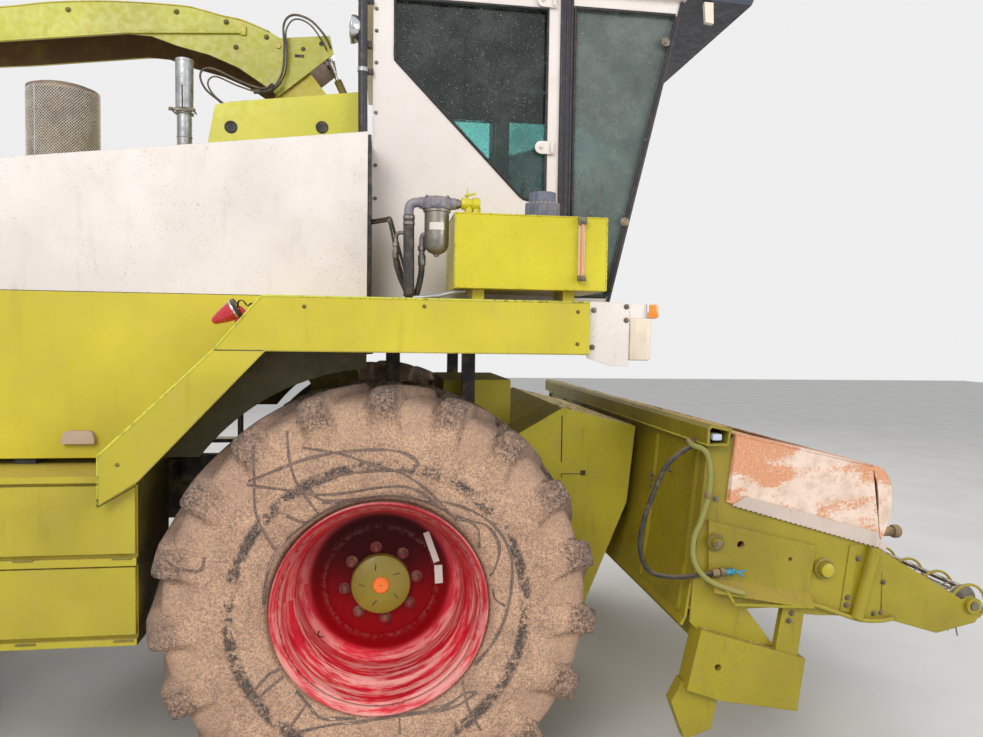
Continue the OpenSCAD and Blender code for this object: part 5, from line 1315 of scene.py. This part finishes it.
def make_header():
    body = "header"
    for side, tag in SIDES:
        way = (0, side, 0)

        def tube(name, points, *rest):
            sweep(name + tag, mirrored(side, points), *rest)

        # Grey strip with a toothed lower edge
        strip = mm("1463,408 1520,443 2140,274 2150,240 2186,212 2176,196")
        for i in range(STRIP_TEETH + 1):
            t, tooth = i / STRIP_TEETH, 0.004 if i % 2 else -0.002
            strip.append((2.15 + (1.466 - 2.15) * t, 0.203 + (0.402 - 0.203) * t + tooth))
        work = bmesh.new()
        plate(work, strip, *span(side, 1.5082, 1.5135))
        from_bmesh("cover_strip_" + tag, work, "cover_strip", body)
        # Raised hem of the cover, the wall's corner fold and the tube along its lower edge
        tube("cover_hem_", "2106,1509,566 1472,1509,704.5 1446,1509,430", 0.004, "rusty_white", body, 8, 0)
        tube("edge_tube_", "1700,1512,18 1760,1524,-2 1832,1520,-27 1922,1518,-58 2038,1517,-100"
            " 2100,1516,-112 2172,1515,-115 2233,1513,-108", 0.01, "green_header", body, 14)
        tube("wall_seam_", "2174,1500.5,94 2176,1500.5,-80", 0.0025, "green_under", body, 6, 0)
        tube("wall_rim_", "2190,1496,173 2380,1496,63 2570,1496,-47.5 2620,1496,-30", 0.0045,
            "green_header", body, 8, 0)
        places = ("2053,1505,160 2009,1505,-11 2004,1505,-44 2140,1500,-88 2176,1500,-85"
                  " 1735,1530,-60 1723,1530,-92 1393,1500,432 2180,1500,50")
        bolts("wall_bolts_" + tag, mirrored(side, places), way, 0.009, "bolt", body)
        turned("boss_ring_" + tag, (1.891, side * 1.512, 0.122), way, "32,0 47,0 46,4 40,8 32,7",
            "green_under", body, ribs=9, depth=0.03)
        turned("boss_face_" + tag, (1.891, side * 1.54, 0.122), way, "0.5,0 29,0 29.5,2 26,4 0.5,4.5",
            "green_box_doors", body)
        turned("boss_nut_" + tag, (1.386, side * 1.548, 0.253), way, "0.5,0 13,0 13,8 0.5,9", "bolt",
            body, 6)
        turned("boss_washer_" + tag, (1.386, side * 1.5262, 0.253), way, "20,0 36,0 36,3 20,4",
            "green_under", body, 40)
        turned("bush_" + tag, (2.15, side * 1.478, 0.268), FORWARD,
            "0.5,0 20,0 20,78 27,80 29,86 29,104 25,112 11,112 11,90 0.5,90", "rusty_steel", body, 40)
        # Flat bar under the tray
        work = bmesh.new()
        for path in ("1424,60 1458,4", "1455,0 1676,-17", "1676,-17 1775,-22"):
            p, q = [Vector((x, 0, z)) for x, z in mm(path)]
            half = Vector((p.z - q.z, 0, q.x - p.x)).normalized() * 0.0065
            corners = [(v.x, v.z) for v in (p - half, q - half, q + half, p + half)]
            plate(work, corners, *span(side, 1.552, 1.564))
        from_bmesh("tray_bar_" + tag, work, "green_header", body, 0.002)
    # Toothed lower edge of the beam, in the lighter green that paints a highlight along it
    work = bmesh.new()
    for i in range(BEAM_TEETH):
        y = -1.548 + i * 3.096 / BEAM_TEETH
        add_block(work, (1.3215, y, 0.664), (1.3255, y + 3.096 / BEAM_TEETH * 0.55, 0.672))
    from_bmesh("beam_teeth", work, "green_edge", body)
    blocks("beam_end_piece", ["1350,-1547,684 1392,-1470,712"], "pale_blue", body, 0.008)
    make_hoses(body)
    hinges = [((x - 0.036, -1.4535, z - 0.006), (x + 0.036, -1.4505, z + 0.003))
        for x, z in mm("-1333,232 -982,232 -1328,-89 -978,-89")]
    blocks("box_hinges", hinges, "green_under", bevel=0.001)
    blocks("guard_catch", ["912,-741.5,398 1030,-740.2,402", "910,-741.5,378 914,-740.2,402",
        "1012,-752,396 1034,-740,418"], "dark_paint", body, 0.0)
    # The guard's slit as a black strip: painted shade in the opening
    blocks("guard_slit", ["906.5,-740.6,460 912.5,-739.6,700"], "black_rubber", body, 0.0)
    bolts("rear_wall_bolts", "1300,-1000,443 1300,-1000,421 1296,-1000,392 1310,-1200,500", (-1, 0, 0),
        0.008, "bolt", body)
    make_straw(body)


def make_hoses(body):
    sweep("hose_black", "1330,-1400,668 1298,-1470,656 1228,-1490,621 1170,-1490,563 1115,-1490,439"
        " 1082,-1490,337 1069,-1490,247 1086,-1490,166 1129,-1492,119 1218,-1508,106 1313,-1522,116"
        " 1386,-1530,124 1470,-1528,128", 0.0105, "hose", body, 14)
    sweep("hose_pale", "1300,-1420,668 1285,-1490,660 1322,-1530,643 1345,-1532,591 1350,-1532,512"
        " 1340,-1532,433 1313,-1532,343 1288,-1534,286 1281,-1536,218 1295,-1540,161 1332,-1543,114"
        " 1380,-1550,84 1440,-1560,62 1500,-1566,46", 0.0115, "hose_pale", body, 14)
    fittings = (("1372,-1534,126 1400,-1534,128", 0.015), ("1405,-1533,128 1424,-1533,129", 0.018),
                ("1338,-1532,466 1345,-1532,444", 0.0145))
    for k, (ends, r) in enumerate(fittings):
        p, q = [at(*end) for end in mm(ends)]
        line = [(0.0005, 0), (r, 0), (r, (q - p).length), (0.0005, (q - p).length)]
        turned(f"hose_fitting_{k}", p, q - p, line, "rusty_steel", body, 12)
    wrap = [(1.425 + 0.0036 * k, -1.531 + 0.004 * math.sin(k * 2.1), 0.13 + 0.003 * math.sin(k * 1.3))
            for k in range(13)]
    sweep("tape", wrap, lambda t: 0.0112 + 0.002 * math.sin(t * 37) + 0.002 * math.sin(t * 91),
        "blue_tape", body, 12, 2)
    for k, ends in enumerate(("1470,-1540,132 1485,-1545,126 1500,-1548,112",
                              "1470,-1540,132 1491,-1545,133.8 1512,-1548,138")):
        sweep(f"tape_end_{k}", ends, 0.005, "blue_tape", body, 6)


# Straw: how many bits, their length against the others, how they gather towards one end, and the surface's
# first corner, its size along X and Y, its fall along both, and the slope that the bits lie on
STRAW_BEDS = (
    (260, 1, 1.6, (0.915, -0.735, 0.7405 - 0.005 * 0.2436), (0.38, 1.4), (0.2436, 0), 0.2436),
    (330, 1, 1.6, (1.345, -1.545, 0.7535 - 0.005 * 0.185), (0.082, 3.09), (0.185, 0), 0.185),
    (60, 0.5, 1, (1.385, -1.5, 0.116), (0.44, -0.055), (0.083 / 0.44, 0.051 / -0.055), 0.188),
    (60, 1, 1, (1.335, -1.535, -0.1125 - 0.009 * 0.308), (0.45, 0.09), (0.308, 0), 0.308),
)


def make_straw(body):
    """Bits of chopped straw lying on the feeder's guard, the beam, the tray and the end box."""
    rng = random.Random(11)
    verts, faces = [], []
    across = Vector((0, 1, 0))
    for count, size, gather, corner, (long, broad), (fall, tilt), slope in STRAW_BEDS:
        along = Vector((1, 0, -slope)).normalized()
        up = along.cross(across)
        for _ in range(count):
            dx, dy = long * rng.random(), broad * rng.random() ** gather
            a = rng.uniform(0, math.pi)
            way = along * math.cos(a) + across * math.sin(a)
            length, wide = rng.uniform(0.008, 0.03) * size, rng.uniform(0.0008, 0.0018)
            p = at(corner[0] + dx, corner[1] + dy, corner[2] - dx * fall - dy * tilt) + up * 0.0006
            q = p + way * length + up * rng.uniform(-0.0002, 0.004)
            cross = way.cross(up).normalized() * wide
            s = len(verts)
            for end in (p, q):
                verts += [end - cross, end + cross, end + up * wide * 1.5]
            faces += [(s, s + 1, s + 4, s + 3), (s + 1, s + 2, s + 5, s + 4), (s + 2, s, s + 3, s + 5),
                      (s, s + 2, s + 1), (s + 3, s + 4, s + 5)]
    new_mesh("straw_bits", verts, faces, "straw", body, smooth=False)


# Stage: pale floor, soft lights

LIT, SEEN = ((0.93, 0.95, 1.0, 1), 0.62), ((0.86, 0.86, 0.86, 1), 1.0)
LAMPS = (("key", (-3.5, -9.5, 7.5), 6.0, 620), ("fill", (7.5, -7.0, 4.0), 5.0, 260),
         ("back", (2.0, 9.0, 8.0), 6.0, 420))


def make_stage():
    bpy.ops.mesh.primitive_plane_add(size=60, location=(0, 0, -0.0005))
    floor = bpy.context.object
    floor.name = "floor"
    s = Shade("floor_grey", Roughness=0.85)
    s.colour(s.mix(s.cloud(1.3, 4, 0.55, 0.3, 0.7), "#d9d7d2", "#d3d0cb"))
    floor.data.materials.append(s.material)
    world = bpy.data.worlds.new("studio")
    bpy.context.scene.world = world
    world.use_nodes = True
    nodes, link = world.node_tree.nodes, world.node_tree.links.new
    nodes.clear()
    out = nodes.new("ShaderNodeOutputWorld")
    blend = nodes.new("ShaderNodeMixShader")
    for k, (colour, strength) in enumerate((LIT, SEEN)):
        light = nodes.new("ShaderNodeBackground")
        light.inputs["Color"].default_value = colour
        light.inputs["Strength"].default_value = strength
        link(light.outputs[0], blend.inputs[k + 1])
    path = nodes.new("ShaderNodeLightPath")
    seen = path.outputs["Is Camera Ray"]
    for ray in ("Is Transmission Ray", "Is Glossy Ray"):
        either = nodes.new("ShaderNodeMath")
        either.operation = "MAXIMUM"
        link(seen, either.inputs[0])
        link(path.outputs[ray], either.inputs[1])
        seen = either.outputs[0]
    link(seen, blend.inputs[0])
    link(blend.outputs[0], out.inputs["Surface"])
    for name, place, size, power in LAMPS:
        data = bpy.data.lights.new(name, "AREA")
        data.shape = "DISK"
        data.size = size
        data.energy = power
        lamp = bpy.data.objects.new(name, data)
        lamp.location = place
        lamp.rotation_euler = (Vector((0, 0, 1.4)) - Vector(place)).to_track_quat("-Z", "Y").to_euler()
        bpy.context.scene.collection.objects.link(lamp)
    bpy.context.scene.view_settings.view_transform = "Standard"


make_camera()
for node_material, node_names in NODE_FINISH:
    for node_name in node_names.split():
        finish_node(node_name, node_material)
front_right_tyre = front_tyre(RIGHT, "right")
front_tyre(LEFT, "left")
for wheel_side, wheel_tag in SIDES:
    front_rim(wheel_side, wheel_tag)
for wheel_side, wheel_tag in SIDES:
    rear_tyre(wheel_side, wheel_tag)
    rear_red = rim_finish(f"rear_rim_{wheel_tag}_red", middle("tyre_rear_" + wheel_tag), wheel_side, 0.229)
    finish_node("rim_rear_" + wheel_tag, rear_red)
tyre_strokes(front_right_tyre)
make_cab()
make_tank()
make_body()
make_spout()
make_header()
make_stage()
